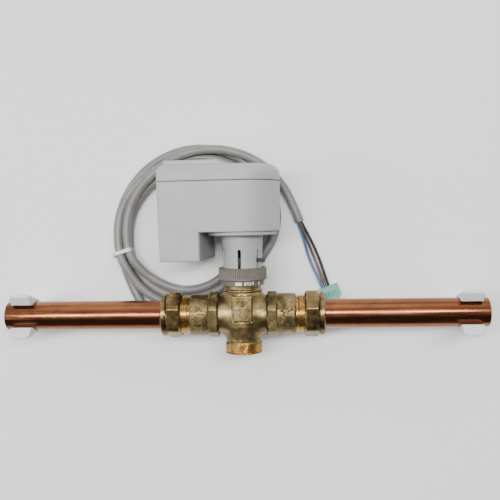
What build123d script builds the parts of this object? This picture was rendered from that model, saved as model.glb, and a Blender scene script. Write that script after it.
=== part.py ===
from build123d import *
from math import acos, asin, atan2, cos, degrees, hypot, pi, radians, sin, sqrt, tan
import os

# Diverter valve with its electric actuator, lying on its pipe clips, in millimetres.
# +X runs along the pipes, +Z is away from the surface that the clips are screwed to.
# The origin is on that surface, under the point where the stem axis meets the pipe axis.
# Valve pieces are drawn upright, with the stem along +Z, the pipe axis along +X and the
# front at -Y, then laid down by VALVE_PLACE. Actuator pieces add a small turn on the stem.

os.makedirs("parts", exist_ok=True)

# ---------------------------------------------------------------- driving dimensions
AXIS_HEIGHT = 35.0  # pipe axis above the surface
STEM_TILT = 5.0  # how far the stem rises from the surface, degrees
HEAD_TURN = -5.0  # how far the actuator is turned on the stem, degrees

SLIDE_GAP = 0.10  # radial gap of a sliding piece
RUN_GAP = 0.05  # radial gap of a running fit
REST_GAP = 0.05  # gap between pieces that rest on each other across a joint

PIPE_R = 11.0
PIPE_WALL = 0.9
PIPE_END = 183.5  # pipe's free end from the stem axis
PIPE_STOP = 30.0  # pipe's inner end from the stem axis

# valve body
BODY_HALF = 18.2  # arm face from the stem axis
BODY_SWELL = 15.4  # body's barrel about the stem axis
ARM_R = 14.0
STUB_R = 12.0  # threaded stub inside each connector
STUB_LENGTH = 9.6
WATERWAY_R = 8.5
CHAMBER_R = 11.0
CHAMBER_FLOOR = -12.0
UPPER_SEAT = 5.5  # underside of the upper seat
SEAT_THICKNESS = 2.0
SEAT_HOLE_R = 7.0
UPPER_CHAMBER_R = 9.5
PORT_END = -29.5
PORT_THREAD_R = 14.0
PORT_THREAD_TOP = -20.1
THREAD_PITCH = 1.5
THREAD_DEPTH = 0.8
NECK_R = 14.3
NECK_THREAD_R = 13.8
NECK_TOP = 31.0
PLATE_WIDTH = 15.0  # raised plate on the front of the body
PLATE_HEIGHT = 18.8
PLATE_Z = 6.0
PLATE_FRONT = 16.9

# stem, plug and spring
STROKE = 2.5
STEM_R = 2.0
STEM_TOP = 38.0
PLUG_R = 8.4
PLUG_CORE = 3.6
SEAL_THICKNESS = 1.2
GLAND_TOP = 28.0
SPRING_R = 5.4  # mean radius
SPRING_WIRE_R = 0.55
SPRING_TURNS = 4.0
RETAINER_THICKNESS = 1.6
RETAINER_R = 7.0

# connectors and compression nuts, distances from the stem axis
HEX_WALL = 5.0  # from the pipe's surface to a flat
HEX_FLATS = 2 * (PIPE_R + HEX_WALL)
HEX_CHAMFER = 1.3
CONNECTOR_HEX = 8.0
CONNECTOR_BARREL = 14.0
BARREL_R = PIPE_R + HEX_WALL
SOCKET_WALL = 3.6  # from the pipe's surface to the thread's crest
CONNECTOR_THREAD_R = PIPE_R + SOCKET_WALL
CONNECTOR_THREAD = 11.0
NUT_START = 46.7
NUT_HEX = 11.0
NUT_COLLAR = 4.2
NUT_COLLAR_WALL = 5.3
NUT_COLLAR_R = PIPE_R + NUT_COLLAR_WALL
OLIVE_LENGTH = 4.6
OLIVE_RISE = 1.4
OLIVE_R = PIPE_R + OLIVE_RISE
WASHER_THICKNESS = 1.0
HEX_TURN = {"left": -25.0, "right": -25.0}  # nut's turn about the pipe axis
CONNECTOR_TURN = -23.0

# pipe clips
CLIP_AT = 170.0
CLIP_WIDTH = 16.0
CLIP_WALL = 2.6
CLIP_GRIP = 2.0  # how much narrower than the pipe the half opening is
CLIP_MOUTH = PIPE_R - CLIP_GRIP
CLIP_EAR_REACH = 5.5
CLIP_EAR = PIPE_R + CLIP_EAR_REACH  # ear tip from the pipe axis
CLIP_EAR_RISE = 5.5
CLIP_FOOT_WIDTH = 18.0
CLIP_SCREW_R = 2.2
CLIP_FLOOR = 4.0
CLIP_HEAD_R = 4.2

# union ring and neck
RING_R = 18.35
RING_LOW_R = 16.4
RING_BOTTOM = 22.6
RING_STEP = 26.5
RING_TOP = 36.1
KNURL_COUNT = 72
KNURL_DEPTH = 0.35
COLLAR_FLANGE_R = 16.0
COLLAR_FLANGE = 2.0
COLLAR_LOW_R = 14.7
COLLAR_TOP_R = 15.8
SLOT_WIDTH = 2.4
SLOT_TOP = 49.9
SLOT_COUNT = 6
SLOT_TURN = -90.0
DISC_R = 26.6
DISC_BOTTOM = 60.9

# actuator housing
HOUSING_R = 29.2  # round end and half depth
HOUSING_BOTTOM = 63.6
HOUSING_LEFT = -58.5  # left face at the lid seam
HOUSING_WALL = 2.2
HOUSING_DRAFT = 1.2  # how far the left face comes in at the block's foot
BLOCK_BOTTOM = 42.2
BLOCK_RIGHT = -DISC_R - 0.2
SEAM = 101.1
LID_TOP = 113.4
LID_EDGE_R = 8.0
LID_LIP = 3.0
LID_PLATE_RISE = 2.8
LID_PLATE_LEFT = -55.0
LID_PLATE_RIGHT = -14.0
CORNER_R = 2.0

# pusher
PUSHER_R = 4.0
GUIDE_R = 11.0
GUIDE_HEIGHT = 5.6
LUG_REACH = 21.0
LUG_WIDTH = 2.0
LUG_RISE = 2.4  # lug above the guide's underside
LUG_HEIGHT = 3.0
PUSHER_TOP = 92.0
RACK_PITCH_LINE = 3.0  # rack's pitch line from the stem axis

# gear train, seen from the front: x to the right and z up the stem
GEAR_MODULE = 0.6
OUTPUT_MODULE = 0.8
PINION_TEETH = 12
FIRST_TEETH = 36
SECOND_TEETH = 40
MOTOR_X = -35.0
MOTOR_Z = 83.0
OUTPUT_Z = 80.0
MOTOR_R = 17.5
MOTOR_DEPTH = 14.0
MOTOR_WALL = 1.0
PIN_R = 1.0
PLATE_THICKNESS = 1.5
FRONT_PLATE_Y = -20.0
BACK_PLATE_Y = 7.0
WHEEL_THICKNESS = 2.0

# cable
CORD_R = 3.6
COIL_X = -38.0
COIL_Y = 68.5
COIL_OUT_R = 70.0
COIL_IN_R = 52.0
COIL_HEIGHT = 14.8
TIE_ANGLE = 197.0
TIE_WIDTH = 3.0
TIE_THICKNESS = 1.3
CORE_R = 1.1
GLAND_X = -13.5
GLAND_Y = 20.0
GLAND_END = 42.0
GLAND_BODY_R = 5.4
CONNECTOR_BLOCK = (16.0, 12.0, 7.0)
CONNECTOR_BLOCK_AT = (68.3, 14.4)
CONNECTOR_BLOCK_TURN = 20.0

VALVE_PLACE = Location((0, 0, AXIS_HEIGHT), (STEM_TILT - 90, 0, 0))
HEAD_PLACE = VALVE_PLACE * Location((0, 0, 0), (0, 0, HEAD_TURN))
SIDES = {"left": -1, "right": 1}
ROOT_GAP = 0.25  # gear tooth's root below its mate's tip, as a share of the module


def finish(piece, label, place=None):
    """Puts a piece in its place in the assembly, names it and writes it."""
    if place is not None:
        piece.part.move(place)
    piece.part.label = label
    export_step(piece.part, f"parts/{label}.step")


def ridges(start, end, crest, depth, pitch):
    """Thread crests and roots as (along, radius) points from start to end."""
    count = max(1, int(abs(end - start) / pitch))
    step = (end - start) / count
    points = []
    for i in range(count):
        at = start + i * step
        points += [(at, crest), (at + 0.20 * step, crest)]
        points += [(at + 0.55 * step, crest - depth), (at + 0.65 * step, crest - depth)]
    return points + [(end, crest)]


# ---------------------------------------------------------------- valve body
body_profile = [(0, PORT_END), (PORT_THREAD_R - THREAD_DEPTH, PORT_END)]
port_thread = ridges(PORT_END + 0.8, PORT_THREAD_TOP, PORT_THREAD_R, THREAD_DEPTH, THREAD_PITCH)
neck_thread = ridges(RING_STEP - 1, NECK_TOP - 0.8, NECK_THREAD_R, THREAD_DEPTH, THREAD_PITCH)
BEAD_Z = 18.8
SHOULDER_Z = 15.6

with BuildPart() as valve_body:
    with BuildSketch(Plane.XZ):
        with BuildLine():
            Polyline(
                *body_profile,
                *[(r, z) for z, r in port_thread],
                (PORT_THREAD_R - THREAD_DEPTH, PORT_THREAD_TOP + 0.2),
                (PORT_THREAD_R - THREAD_DEPTH, CHAMBER_FLOOR - 4.5),
                (BODY_SWELL, CHAMBER_FLOOR - 2),
                (BODY_SWELL, SHOULDER_Z),
                (NECK_R, SHOULDER_Z + 1.2),
                (NECK_R, BEAD_Z - 1),
                (NECK_R + 0.6, BEAD_Z),
                (NECK_R, BEAD_Z + 1),
                (NECK_R, RING_BOTTOM - 0.6),
                (NECK_THREAD_R - THREAD_DEPTH, RING_BOTTOM - 0.2),
                (NECK_THREAD_R - THREAD_DEPTH, RING_STEP - 1),
                *[(r, z) for z, r in neck_thread],
                (NECK_THREAD_R - THREAD_DEPTH, NECK_TOP),
                (0, NECK_TOP),
                close=True,
            )
        make_face()
    revolve(axis=Axis.Z)
    for side in SIDES.values():
        with BuildSketch(Plane.YZ.offset(side * BODY_HALF)):
            Circle(ARM_R)
        extrude(amount=-side * BODY_HALF)
        with BuildSketch(Plane.YZ.offset(side * BODY_HALF)):
            Circle(STUB_R)
        extrude(amount=side * STUB_LENGTH)
    with BuildSketch(Plane.XZ.offset(PLATE_FRONT)):
        with Locations((0, PLATE_Z)):
            RectangleRounded(PLATE_WIDTH, PLATE_HEIGHT, 1.0)
    extrude(amount=-(PLATE_FRONT - 4), taper=-4)
    # lower chamber, upper seat hole, upper chamber with the gland's bore, lower port
    with BuildSketch(Plane.XY.offset(CHAMBER_FLOOR)):
        Circle(CHAMBER_R)
    extrude(amount=UPPER_SEAT - CHAMBER_FLOOR, mode=Mode.SUBTRACT)
    with BuildSketch(Plane.XY.offset(UPPER_SEAT - 1)):
        Circle(SEAT_HOLE_R)
    extrude(amount=SEAT_THICKNESS + 2, mode=Mode.SUBTRACT)
    with BuildSketch(Plane.XY.offset(UPPER_SEAT + SEAT_THICKNESS)):
        Circle(UPPER_CHAMBER_R)
    extrude(amount=NECK_TOP, mode=Mode.SUBTRACT)
    with BuildSketch(Plane.XY.offset(PORT_END)):
        Circle(WATERWAY_R)
    extrude(amount=CHAMBER_FLOOR - PORT_END + 1, mode=Mode.SUBTRACT)
    # left port opens into the lower chamber
    with BuildSketch(Plane.YZ.offset(-BODY_HALF - STUB_LENGTH)):
        Circle(WATERWAY_R)
    extrude(amount=BODY_HALF + STUB_LENGTH - 2, mode=Mode.SUBTRACT)
    # right port rises behind a wall and opens into the upper chamber
    WALL_X = CHAMBER_R + 2.2
    with BuildSketch(Plane.YZ.offset(WALL_X)):
        Circle(WATERWAY_R)
    extrude(amount=BODY_HALF + STUB_LENGTH - WALL_X + 1, mode=Mode.SUBTRACT)
    RISE_TOP = UPPER_SEAT + SEAT_THICKNESS + 4.6
    with BuildSketch(Plane.XY):
        with Locations(((WALL_X + BODY_HALF - 2.2) / 2, 0)):
            Rectangle(BODY_HALF - 2.2 - WALL_X, 9)
    extrude(amount=RISE_TOP, mode=Mode.SUBTRACT)
    with BuildSketch(Plane.XY.offset(UPPER_SEAT + SEAT_THICKNESS)):
        with Locations((WALL_X / 2 + 3, 0)):
            Rectangle(WALL_X - 5, 9)
    extrude(amount=RISE_TOP - UPPER_SEAT - SEAT_THICKNESS, mode=Mode.SUBTRACT)
finish(valve_body, "valve_body", VALVE_PLACE)

# ---------------------------------------------------------------- seat and plug
PLUG_TOP = UPPER_SEAT - REST_GAP
PLUG_BOTTOM = PLUG_TOP - PLUG_CORE - 2 * SEAL_THICKNESS
LOWER_SEAT_TOP = PLUG_BOTTOM - STROKE - REST_GAP
SEAL_IN_R = SEAT_HOLE_R - 1.2
SEAL_OUT_R = PLUG_R - 0.3

with BuildPart() as lower_seat:
    with BuildSketch(Plane.XZ):
        with BuildLine():
            Polyline(
                (SEAT_HOLE_R, CHAMBER_FLOOR),
                (CHAMBER_R, CHAMBER_FLOOR),
                (CHAMBER_R, CHAMBER_FLOOR + 2),
                (SEAT_HOLE_R + 1.6, CHAMBER_FLOOR + 2),
                (SEAT_HOLE_R + 0.8, LOWER_SEAT_TOP),
                (SEAT_HOLE_R, LOWER_SEAT_TOP),
                close=True,
            )
        make_face()
    revolve(axis=Axis.Z)
finish(lower_seat, "lower_seat", VALVE_PLACE)

with BuildPart() as closing_plug:
    with BuildSketch(Plane.XZ):
        with BuildLine():
            Polyline(
                (STEM_R, PLUG_BOTTOM),
                (SEAL_IN_R, PLUG_BOTTOM),
                (SEAL_IN_R, PLUG_BOTTOM + SEAL_THICKNESS),
                (PLUG_R, PLUG_BOTTOM + SEAL_THICKNESS),
                (PLUG_R, PLUG_TOP - SEAL_THICKNESS),
                (SEAL_IN_R, PLUG_TOP - SEAL_THICKNESS),
                (SEAL_IN_R, PLUG_TOP + 2),
                (STEM_R, PLUG_TOP + 2),
                close=True,
            )
        make_face()
    revolve(axis=Axis.Z)
finish(closing_plug, "closing_plug", VALVE_PLACE)

with BuildPart() as plug_seals:
    for base in (PLUG_BOTTOM, PLUG_TOP - SEAL_THICKNESS):
        with BuildSketch(Plane.XY.offset(base)):
            Circle(SEAL_OUT_R)
            Circle(SEAL_IN_R, mode=Mode.SUBTRACT)
        extrude(amount=SEAL_THICKNESS)
finish(plug_seals, "plug_seals", VALVE_PLACE)

# ---------------------------------------------------------------- gland, stem and spring
GLAND_BOTTOM = 14.5
SEAL_GROOVE = 3.0
RETAINER_TOP = STEM_TOP - 0.8
RETAINER_BOTTOM = RETAINER_TOP - RETAINER_THICKNESS

with BuildPart() as spindle_gland:
    with BuildSketch(Plane.XY.offset(GLAND_BOTTOM)):
        Circle(UPPER_CHAMBER_R)
    extrude(amount=GLAND_TOP - GLAND_BOTTOM)
    with BuildSketch(Plane.XY.offset(GLAND_TOP - SEAL_GROOVE)):
        Circle(STEM_R + 2.0)
    extrude(amount=SEAL_GROOVE - 1.0, mode=Mode.SUBTRACT)
    with BuildSketch(Plane.XY.offset(GLAND_BOTTOM)):
        Circle(STEM_R + RUN_GAP)
    extrude(amount=GLAND_TOP - GLAND_BOTTOM, mode=Mode.SUBTRACT)
finish(spindle_gland, "spindle_gland", VALVE_PLACE)

with BuildPart() as gland_seal:
    with BuildSketch(Plane.XY.offset(GLAND_TOP - SEAL_GROOVE)):
        Circle(STEM_R + 2.0)
        Circle(STEM_R + RUN_GAP, mode=Mode.SUBTRACT)
    extrude(amount=SEAL_GROOVE - 1.0)
finish(gland_seal, "gland_seal", VALVE_PLACE)

with BuildPart() as valve_stem:
    with BuildSketch(Plane.XY.offset(PLUG_BOTTOM)):
        Circle(STEM_R)
    extrude(amount=STEM_TOP - PLUG_BOTTOM)
    chamfer(valve_stem.edges().group_by(Axis.Z)[-1], 0.4)
finish(valve_stem, "valve_stem", VALVE_PLACE)

with BuildPart() as spring_retainer:
    with BuildSketch(Plane.XY.offset(RETAINER_BOTTOM)):
        Circle(RETAINER_R)
        Circle(STEM_R, mode=Mode.SUBTRACT)
    extrude(amount=RETAINER_THICKNESS)
finish(spring_retainer, "spring_retainer", VALVE_PLACE)

SPRING_BOTTOM = GLAND_TOP + SPRING_WIRE_R + REST_GAP
SPRING_HEIGHT = RETAINER_BOTTOM - GLAND_TOP - 2 * (SPRING_WIRE_R + REST_GAP)
with BuildPart() as valve_spring:
    with BuildLine():
        coil = Helix(
            pitch=SPRING_HEIGHT / SPRING_TURNS,
            height=SPRING_HEIGHT,
            radius=SPRING_R,
            center=(0, 0, SPRING_BOTTOM),
        )
    with BuildSketch(Plane(origin=coil @ 0, z_dir=coil % 0)):
        Circle(SPRING_WIRE_R)
    sweep(path=coil, is_frenet=True)
finish(valve_spring, "valve_spring", VALVE_PLACE)

# ---------------------------------------------------------------- connectors, washers, nuts, olives
HEX_END = BODY_HALF + CONNECTOR_HEX
BARREL_END = HEX_END + CONNECTOR_BARREL
THREAD_END = BARREL_END + CONNECTOR_THREAD
STUB_END = BODY_HALF + STUB_LENGTH
WEB = PIPE_STOP - STUB_END - WASHER_THICKNESS
PIPE_SOCKET_R = PIPE_R + RUN_GAP
OLIVE_START = THREAD_END - 1.0
NUT_END = NUT_START + NUT_HEX + NUT_COLLAR
NUT_CAVITY_R = CONNECTOR_THREAD_R + RUN_GAP


def hexagon(start, length, turn, side):
    """A hexagon with chamfered corners round the pipe axis."""
    corner_r = HEX_FLATS / sqrt(3)
    with BuildPart() as hexagon_part:
        with BuildSketch(Plane.YZ.offset(side * start)):
            RegularPolygon(HEX_FLATS / 2, 6, major_radius=False, rotation=turn)
        extrude(amount=side * length)
        with BuildSketch(Plane.XZ):
            with BuildLine():
                Polyline(
                    (side * start, 0),
                    (side * start, corner_r - HEX_CHAMFER),
                    (side * (start + HEX_CHAMFER * 0.6), corner_r + 0.1),
                    (side * (start + length - HEX_CHAMFER * 0.6), corner_r + 0.1),
                    (side * (start + length), corner_r - HEX_CHAMFER),
                    (side * (start + length), 0),
                    close=True,
                )
            make_face()
        revolve(axis=Axis.X, mode=Mode.INTERSECT)
    return hexagon_part.part


def lathe_face(side, points):
    """A face to turn round the pipe axis, from (distance, radius) points on one side."""
    with BuildSketch(Plane.XZ) as profile:
        with BuildLine():
            Polyline(*[(side * x, r) for x, r in points], close=True)
        make_face()
    return profile.sketch


thread_line = ridges(BARREL_END + 0.9, THREAD_END - 0.4, CONNECTOR_THREAD_R, THREAD_DEPTH, THREAD_PITCH)
for name, side in SIDES.items():
    with BuildPart() as connector:
        add(hexagon(BODY_HALF, CONNECTOR_HEX, CONNECTOR_TURN, side))
        profile = lathe_face(
            side,
            [
                (HEX_END, 0),
                (HEX_END, BARREL_R - 0.5),
                (HEX_END + 0.5, BARREL_R),
                (BARREL_END - 0.8, BARREL_R),
                (BARREL_END, BARREL_R - 0.8),
                (BARREL_END, CONNECTOR_THREAD_R - THREAD_DEPTH),
                (BARREL_END + 0.7, CONNECTOR_THREAD_R - THREAD_DEPTH),
                *thread_line,
                (THREAD_END, CONNECTOR_THREAD_R - THREAD_DEPTH),
                (THREAD_END, 0),
            ],
        )
        revolve(profile, axis=Axis.X)
        profile = lathe_face(
            side,
            [
                (BODY_HALF, 0),
                (BODY_HALF, STUB_R + RUN_GAP),
                (STUB_END + WASHER_THICKNESS, STUB_R + RUN_GAP),
                (STUB_END + WASHER_THICKNESS, WATERWAY_R),
                (PIPE_STOP, WATERWAY_R),
                (PIPE_STOP, PIPE_SOCKET_R),
                (OLIVE_START - 0.8, PIPE_SOCKET_R),
                (THREAD_END, OLIVE_R + 0.2),
                (THREAD_END, 0),
            ],
        )
        revolve(profile, axis=Axis.X, mode=Mode.SUBTRACT)
    finish(connector, f"{name}_connector", VALVE_PLACE)

    with BuildPart() as washer:
        profile = lathe_face(
            side,
            [
                (STUB_END, WATERWAY_R),
                (STUB_END, STUB_R),
                (STUB_END + WASHER_THICKNESS, STUB_R),
                (STUB_END + WASHER_THICKNESS, WATERWAY_R),
            ],
        )
        revolve(profile, axis=Axis.X)
    finish(washer, f"{name}_washer", VALVE_PLACE)

    with BuildPart() as olive:
        profile = lathe_face(
            side,
            [
                (OLIVE_START, PIPE_R),
                (OLIVE_START, PIPE_R + 0.3),
                (THREAD_END + 0.4, OLIVE_R),
                (THREAD_END + 1.6, OLIVE_R),
                (OLIVE_START + OLIVE_LENGTH, PIPE_R + 0.4),
                (OLIVE_START + OLIVE_LENGTH, PIPE_R),
            ],
        )
        revolve(profile, axis=Axis.X)
    finish(olive, f"{name}_olive", VALVE_PLACE)

    with BuildPart() as nut:
        add(hexagon(NUT_START, NUT_HEX, HEX_TURN[name], side))
        profile = lathe_face(
            side,
            [
                (NUT_START + NUT_HEX - 0.5, 0),
                (NUT_START + NUT_HEX - 0.5, NUT_COLLAR_R),
                (NUT_END - 0.6, NUT_COLLAR_R),
                (NUT_END, NUT_COLLAR_R - 0.6),
                (NUT_END, 0),
            ],
        )
        revolve(profile, axis=Axis.X)
        profile = lathe_face(
            side,
            [
                (NUT_START, 0),
                (NUT_START, NUT_CAVITY_R),
                (THREAD_END + 0.2, NUT_CAVITY_R),
                (THREAD_END + 1.8, OLIVE_R + 0.2),
                (OLIVE_START + OLIVE_LENGTH + 0.8, PIPE_SOCKET_R),
                (NUT_END, PIPE_SOCKET_R),
                (NUT_END, 0),
            ],
        )
        revolve(profile, axis=Axis.X, mode=Mode.SUBTRACT)
    finish(nut, f"{name}_nut", VALVE_PLACE)

    with BuildPart() as pipe:
        with BuildSketch(Plane.YZ.offset(side * PIPE_STOP)):
            Circle(PIPE_R)
            Circle(PIPE_R - PIPE_WALL, mode=Mode.SUBTRACT)
        extrude(amount=side * (PIPE_END - PIPE_STOP))
    finish(pipe, f"{name}_pipe", VALVE_PLACE)

# ---------------------------------------------------------------- pipe clips, built where they stand
CLIP_IN_R = PIPE_R + RUN_GAP
CLIP_OUT_R = CLIP_IN_R + CLIP_WALL
mouth_angle = degrees(asin(CLIP_MOUTH / CLIP_OUT_R))
for name, side in SIDES.items():
    with BuildPart() as clip:
        with BuildSketch(Plane.YZ.offset(side * CLIP_AT - CLIP_WIDTH / 2)):
            with Locations((0, AXIS_HEIGHT)):
                Circle(CLIP_OUT_R)
            with Locations((0, AXIS_HEIGHT / 2)):
                Rectangle(CLIP_FOOT_WIDTH, AXIS_HEIGHT)
            ear_z = AXIS_HEIGHT + CLIP_OUT_R * cos(radians(mouth_angle))
            for ear in (-1, 1):
                with BuildLine():
                    Polyline(
                        (ear * (CLIP_MOUTH - 0.4), ear_z - 2.2),
                        (ear * CLIP_MOUTH, ear_z),
                        (ear * (CLIP_EAR - 2.0), ear_z + CLIP_EAR_RISE),
                        (ear * CLIP_EAR, ear_z + CLIP_EAR_RISE),
                        (ear * CLIP_EAR, ear_z + CLIP_EAR_RISE - 2.0),
                        (ear * (CLIP_MOUTH + 2.6), ear_z - 2.4),
                        close=True,
                    )
                make_face()
            with Locations((0, AXIS_HEIGHT)):
                Circle(CLIP_IN_R, mode=Mode.SUBTRACT)
            with Locations((0, AXIS_HEIGHT + CLIP_OUT_R + 1)):
                MOUTH_DEPTH = 2 * (CLIP_OUT_R + 1 - ear_z + AXIS_HEIGHT) + 4
                Rectangle(2 * (CLIP_MOUTH - 0.4), MOUTH_DEPTH, mode=Mode.SUBTRACT)
        extrude(amount=CLIP_WIDTH)
        with BuildSketch(Plane.XY):
            with Locations((side * CLIP_AT, 0)):
                Circle(CLIP_SCREW_R)
        extrude(amount=AXIS_HEIGHT, mode=Mode.SUBTRACT)
        # pocket for the screw's head, under the pipe
        with BuildSketch(Plane.XY.offset(CLIP_FLOOR)):
            with Locations((side * CLIP_AT, 0)):
                Circle(CLIP_HEAD_R)
        extrude(amount=AXIS_HEIGHT - CLIP_FLOOR, mode=Mode.SUBTRACT)
    finish(clip, f"{name}_clip")

# ---------------------------------------------------------------- union ring
RING_BORE_R = NECK_THREAD_R + 0.2
FLANGE_TOP = NECK_TOP + COLLAR_FLANGE
with BuildPart() as union_ring:
    with BuildSketch(Plane.XZ):
        with BuildLine():
            Polyline(
                (RING_BORE_R, RING_BOTTOM),
                (RING_LOW_R - 0.3, RING_BOTTOM),
                (RING_LOW_R, RING_BOTTOM + 0.3),
                (RING_LOW_R, RING_STEP),
                (RING_R - 0.5, RING_STEP),
                (RING_R, RING_STEP + 0.5),
                (RING_R, RING_TOP - 0.6),
                (RING_R - 0.6, RING_TOP),
                (COLLAR_LOW_R + 0.35, RING_TOP),
                (COLLAR_LOW_R + 0.35, FLANGE_TOP + REST_GAP),
                (COLLAR_FLANGE_R + RUN_GAP, FLANGE_TOP + REST_GAP),
                (COLLAR_FLANGE_R + RUN_GAP, NECK_TOP - REST_GAP),
                (RING_BORE_R, NECK_TOP - REST_GAP),
                close=True,
            )
        make_face()
    revolve(axis=Axis.Z)
    with BuildSketch(Plane.XY.offset(RING_STEP + 0.8)):
        with PolarLocations(RING_R, KNURL_COUNT):
            RegularPolygon(KNURL_DEPTH, 4)
    extrude(amount=RING_TOP - RING_STEP - 1.6, mode=Mode.SUBTRACT)
finish(union_ring, "union_ring", VALVE_PLACE)

# ---------------------------------------------------------------- neck collar with its disc
COLLAR_BORE_R = GUIDE_R + SLIDE_GAP
SCREW_R = 1.4
SCREW_HEAD_R = 2.6
SCREW_HEAD = 1.4
SCREW_RING_R = 20.5
SCREW_TURN = -30.0
gland_notch_r = GLAND_BODY_R + 0.2
with BuildPart() as neck_collar:
    with BuildSketch(Plane.XZ):
        with BuildLine():
            Polyline(
                (COLLAR_BORE_R, NECK_TOP + REST_GAP),
                (COLLAR_FLANGE_R, NECK_TOP + REST_GAP),
                (COLLAR_FLANGE_R, FLANGE_TOP),
                (COLLAR_LOW_R, FLANGE_TOP),
                (COLLAR_LOW_R, RING_TOP + 5),
                (COLLAR_TOP_R, DISC_BOTTOM - 4),
                (COLLAR_TOP_R, DISC_BOTTOM),
                (DISC_R - 0.4, DISC_BOTTOM),
                (DISC_R, DISC_BOTTOM + 0.4),
                (DISC_R, HOUSING_BOTTOM),
                (COLLAR_BORE_R, HOUSING_BOTTOM),
                close=True,
            )
        make_face()
    revolve(axis=Axis.Z)
    with BuildSketch(Plane.XY.offset(NECK_TOP)):
        with PolarLocations(COLLAR_LOW_R, SLOT_COUNT, start_angle=SLOT_TURN):
            Rectangle(10, SLOT_WIDTH)
    extrude(amount=SLOT_TOP - SLOT_WIDTH / 2 - NECK_TOP, mode=Mode.SUBTRACT)
    for i in range(SLOT_COUNT):
        at = SLOT_TURN + i * 360 / SLOT_COUNT
        outward = (cos(radians(at)), sin(radians(at)), 0)
        spoke = Plane(origin=(0, 0, SLOT_TOP - SLOT_WIDTH / 2), z_dir=outward)
        with BuildSketch(spoke.offset(COLLAR_BORE_R - 2)):
            Circle(SLOT_WIDTH / 2)
        extrude(amount=8, mode=Mode.SUBTRACT)
    with BuildSketch(Plane.XY.offset(DISC_BOTTOM)):
        with Locations((GLAND_X, GLAND_Y)):
            Circle(gland_notch_r)
        with PolarLocations(SCREW_RING_R, 3, start_angle=SCREW_TURN):
            Circle(SCREW_R)
    extrude(amount=HOUSING_BOTTOM - DISC_BOTTOM, mode=Mode.SUBTRACT)
    with BuildSketch(Plane.XY.offset(DISC_BOTTOM)):
        with PolarLocations(SCREW_RING_R, 3, start_angle=SCREW_TURN):
            Circle(SCREW_HEAD_R)
    extrude(amount=SCREW_HEAD, mode=Mode.SUBTRACT)
finish(neck_collar, "neck_collar", HEAD_PLACE)


# ---------------------------------------------------------------- actuator housing
def housing_plan(height, inset, left=HOUSING_LEFT):
    """The housing's plan at a height: straight left end, round right end."""
    depth = HOUSING_R - inset
    corner = max(CORNER_R - inset, 0.3)
    with BuildSketch(Plane.XY.offset(height)) as plan:
        with BuildLine():
            Line((0, -depth), (left + inset + corner, -depth))
            RadiusArc((left + inset + corner, -depth), (left + inset, -depth + corner), corner)
            Line((left + inset, -depth + corner), (left + inset, depth - corner))
            RadiusArc((left + inset, depth - corner), (left + inset + corner, depth), corner)
            Line((left + inset + corner, depth), (0, depth))
            CenterArc((0, 0), depth, 90, -180)
        make_face()
    return plan.sketch


FLOOR_TOP = HOUSING_BOTTOM + HOUSING_WALL
BLOCK_FLOOR = BLOCK_BOTTOM + HOUSING_WALL
block_left = HOUSING_LEFT + HOUSING_DRAFT
with BuildPart() as actuator_base:
    extrude(housing_plan(HOUSING_BOTTOM, 0), amount=SEAM - HOUSING_BOTTOM)
    with BuildSketch(Plane.XY.offset(BLOCK_BOTTOM)):
        with Locations(((block_left + BLOCK_RIGHT) / 2, 0)):
            RectangleRounded(BLOCK_RIGHT - block_left, 2 * HOUSING_R - 0.4, CORNER_R)
    extrude(amount=HOUSING_BOTTOM - BLOCK_BOTTOM + 1)
    extrude(housing_plan(FLOOR_TOP, HOUSING_WALL), amount=SEAM - FLOOR_TOP, mode=Mode.SUBTRACT)
    with BuildSketch(Plane.XY.offset(BLOCK_FLOOR)):
        with Locations(((block_left + BLOCK_RIGHT) / 2, 0)):
            Rectangle(BLOCK_RIGHT - block_left - 2 * HOUSING_WALL, 2 * (HOUSING_R - HOUSING_WALL) - 0.4)
    extrude(amount=FLOOR_TOP - BLOCK_FLOOR + 1, mode=Mode.SUBTRACT)
    with BuildSketch(Plane.XY.offset(HOUSING_BOTTOM)):
        Circle(PUSHER_R + 2)
        with PolarLocations(SCREW_RING_R, 3, start_angle=SCREW_TURN):
            Circle(SCREW_R)
        with Locations((GLAND_X, GLAND_Y)):
            Circle(CORD_R + RUN_GAP)
    extrude(amount=HOUSING_WALL, mode=Mode.SUBTRACT)
finish(actuator_base, "actuator_base", HEAD_PLACE)

LID_INSIDE = LID_TOP - HOUSING_WALL
with BuildPart() as actuator_lid:
    extrude(housing_plan(SEAM, 0), amount=LID_TOP - SEAM)
    top_edges = actuator_lid.faces().sort_by(Axis.Z)[-1].edges()
    round_end = top_edges.filter_by(GeomType.CIRCLE).sort_by(SortBy.RADIUS)[-1:]
    straight = top_edges.filter_by(GeomType.LINE).filter_by(Axis.X)
    fillet(round_end + straight, LID_EDGE_R)
    with BuildSketch(Plane.XZ.offset(HOUSING_R - LID_EDGE_R)):
        with BuildLine():
            Polyline(
                (LID_PLATE_LEFT, LID_TOP - 1),
                (LID_PLATE_LEFT + 0.4, LID_TOP + LID_PLATE_RISE),
                (LID_PLATE_RIGHT - 5, LID_TOP + LID_PLATE_RISE),
                (LID_PLATE_RIGHT, LID_TOP),
                (LID_PLATE_RIGHT, LID_TOP - 1),
                close=True,
            )
        make_face()
    extrude(amount=-2 * (HOUSING_R - LID_EDGE_R))
    # lip that drops into the base, then the hollow through both
    extrude(housing_plan(SEAM - LID_LIP, HOUSING_WALL + RUN_GAP), amount=LID_LIP)
    hollow = housing_plan(SEAM - LID_LIP, HOUSING_WALL + LID_EDGE_R / 3)
    extrude(hollow, amount=LID_INSIDE - SEAM + LID_LIP, mode=Mode.SUBTRACT)
finish(actuator_lid, "actuator_lid", HEAD_PLACE)

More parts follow.
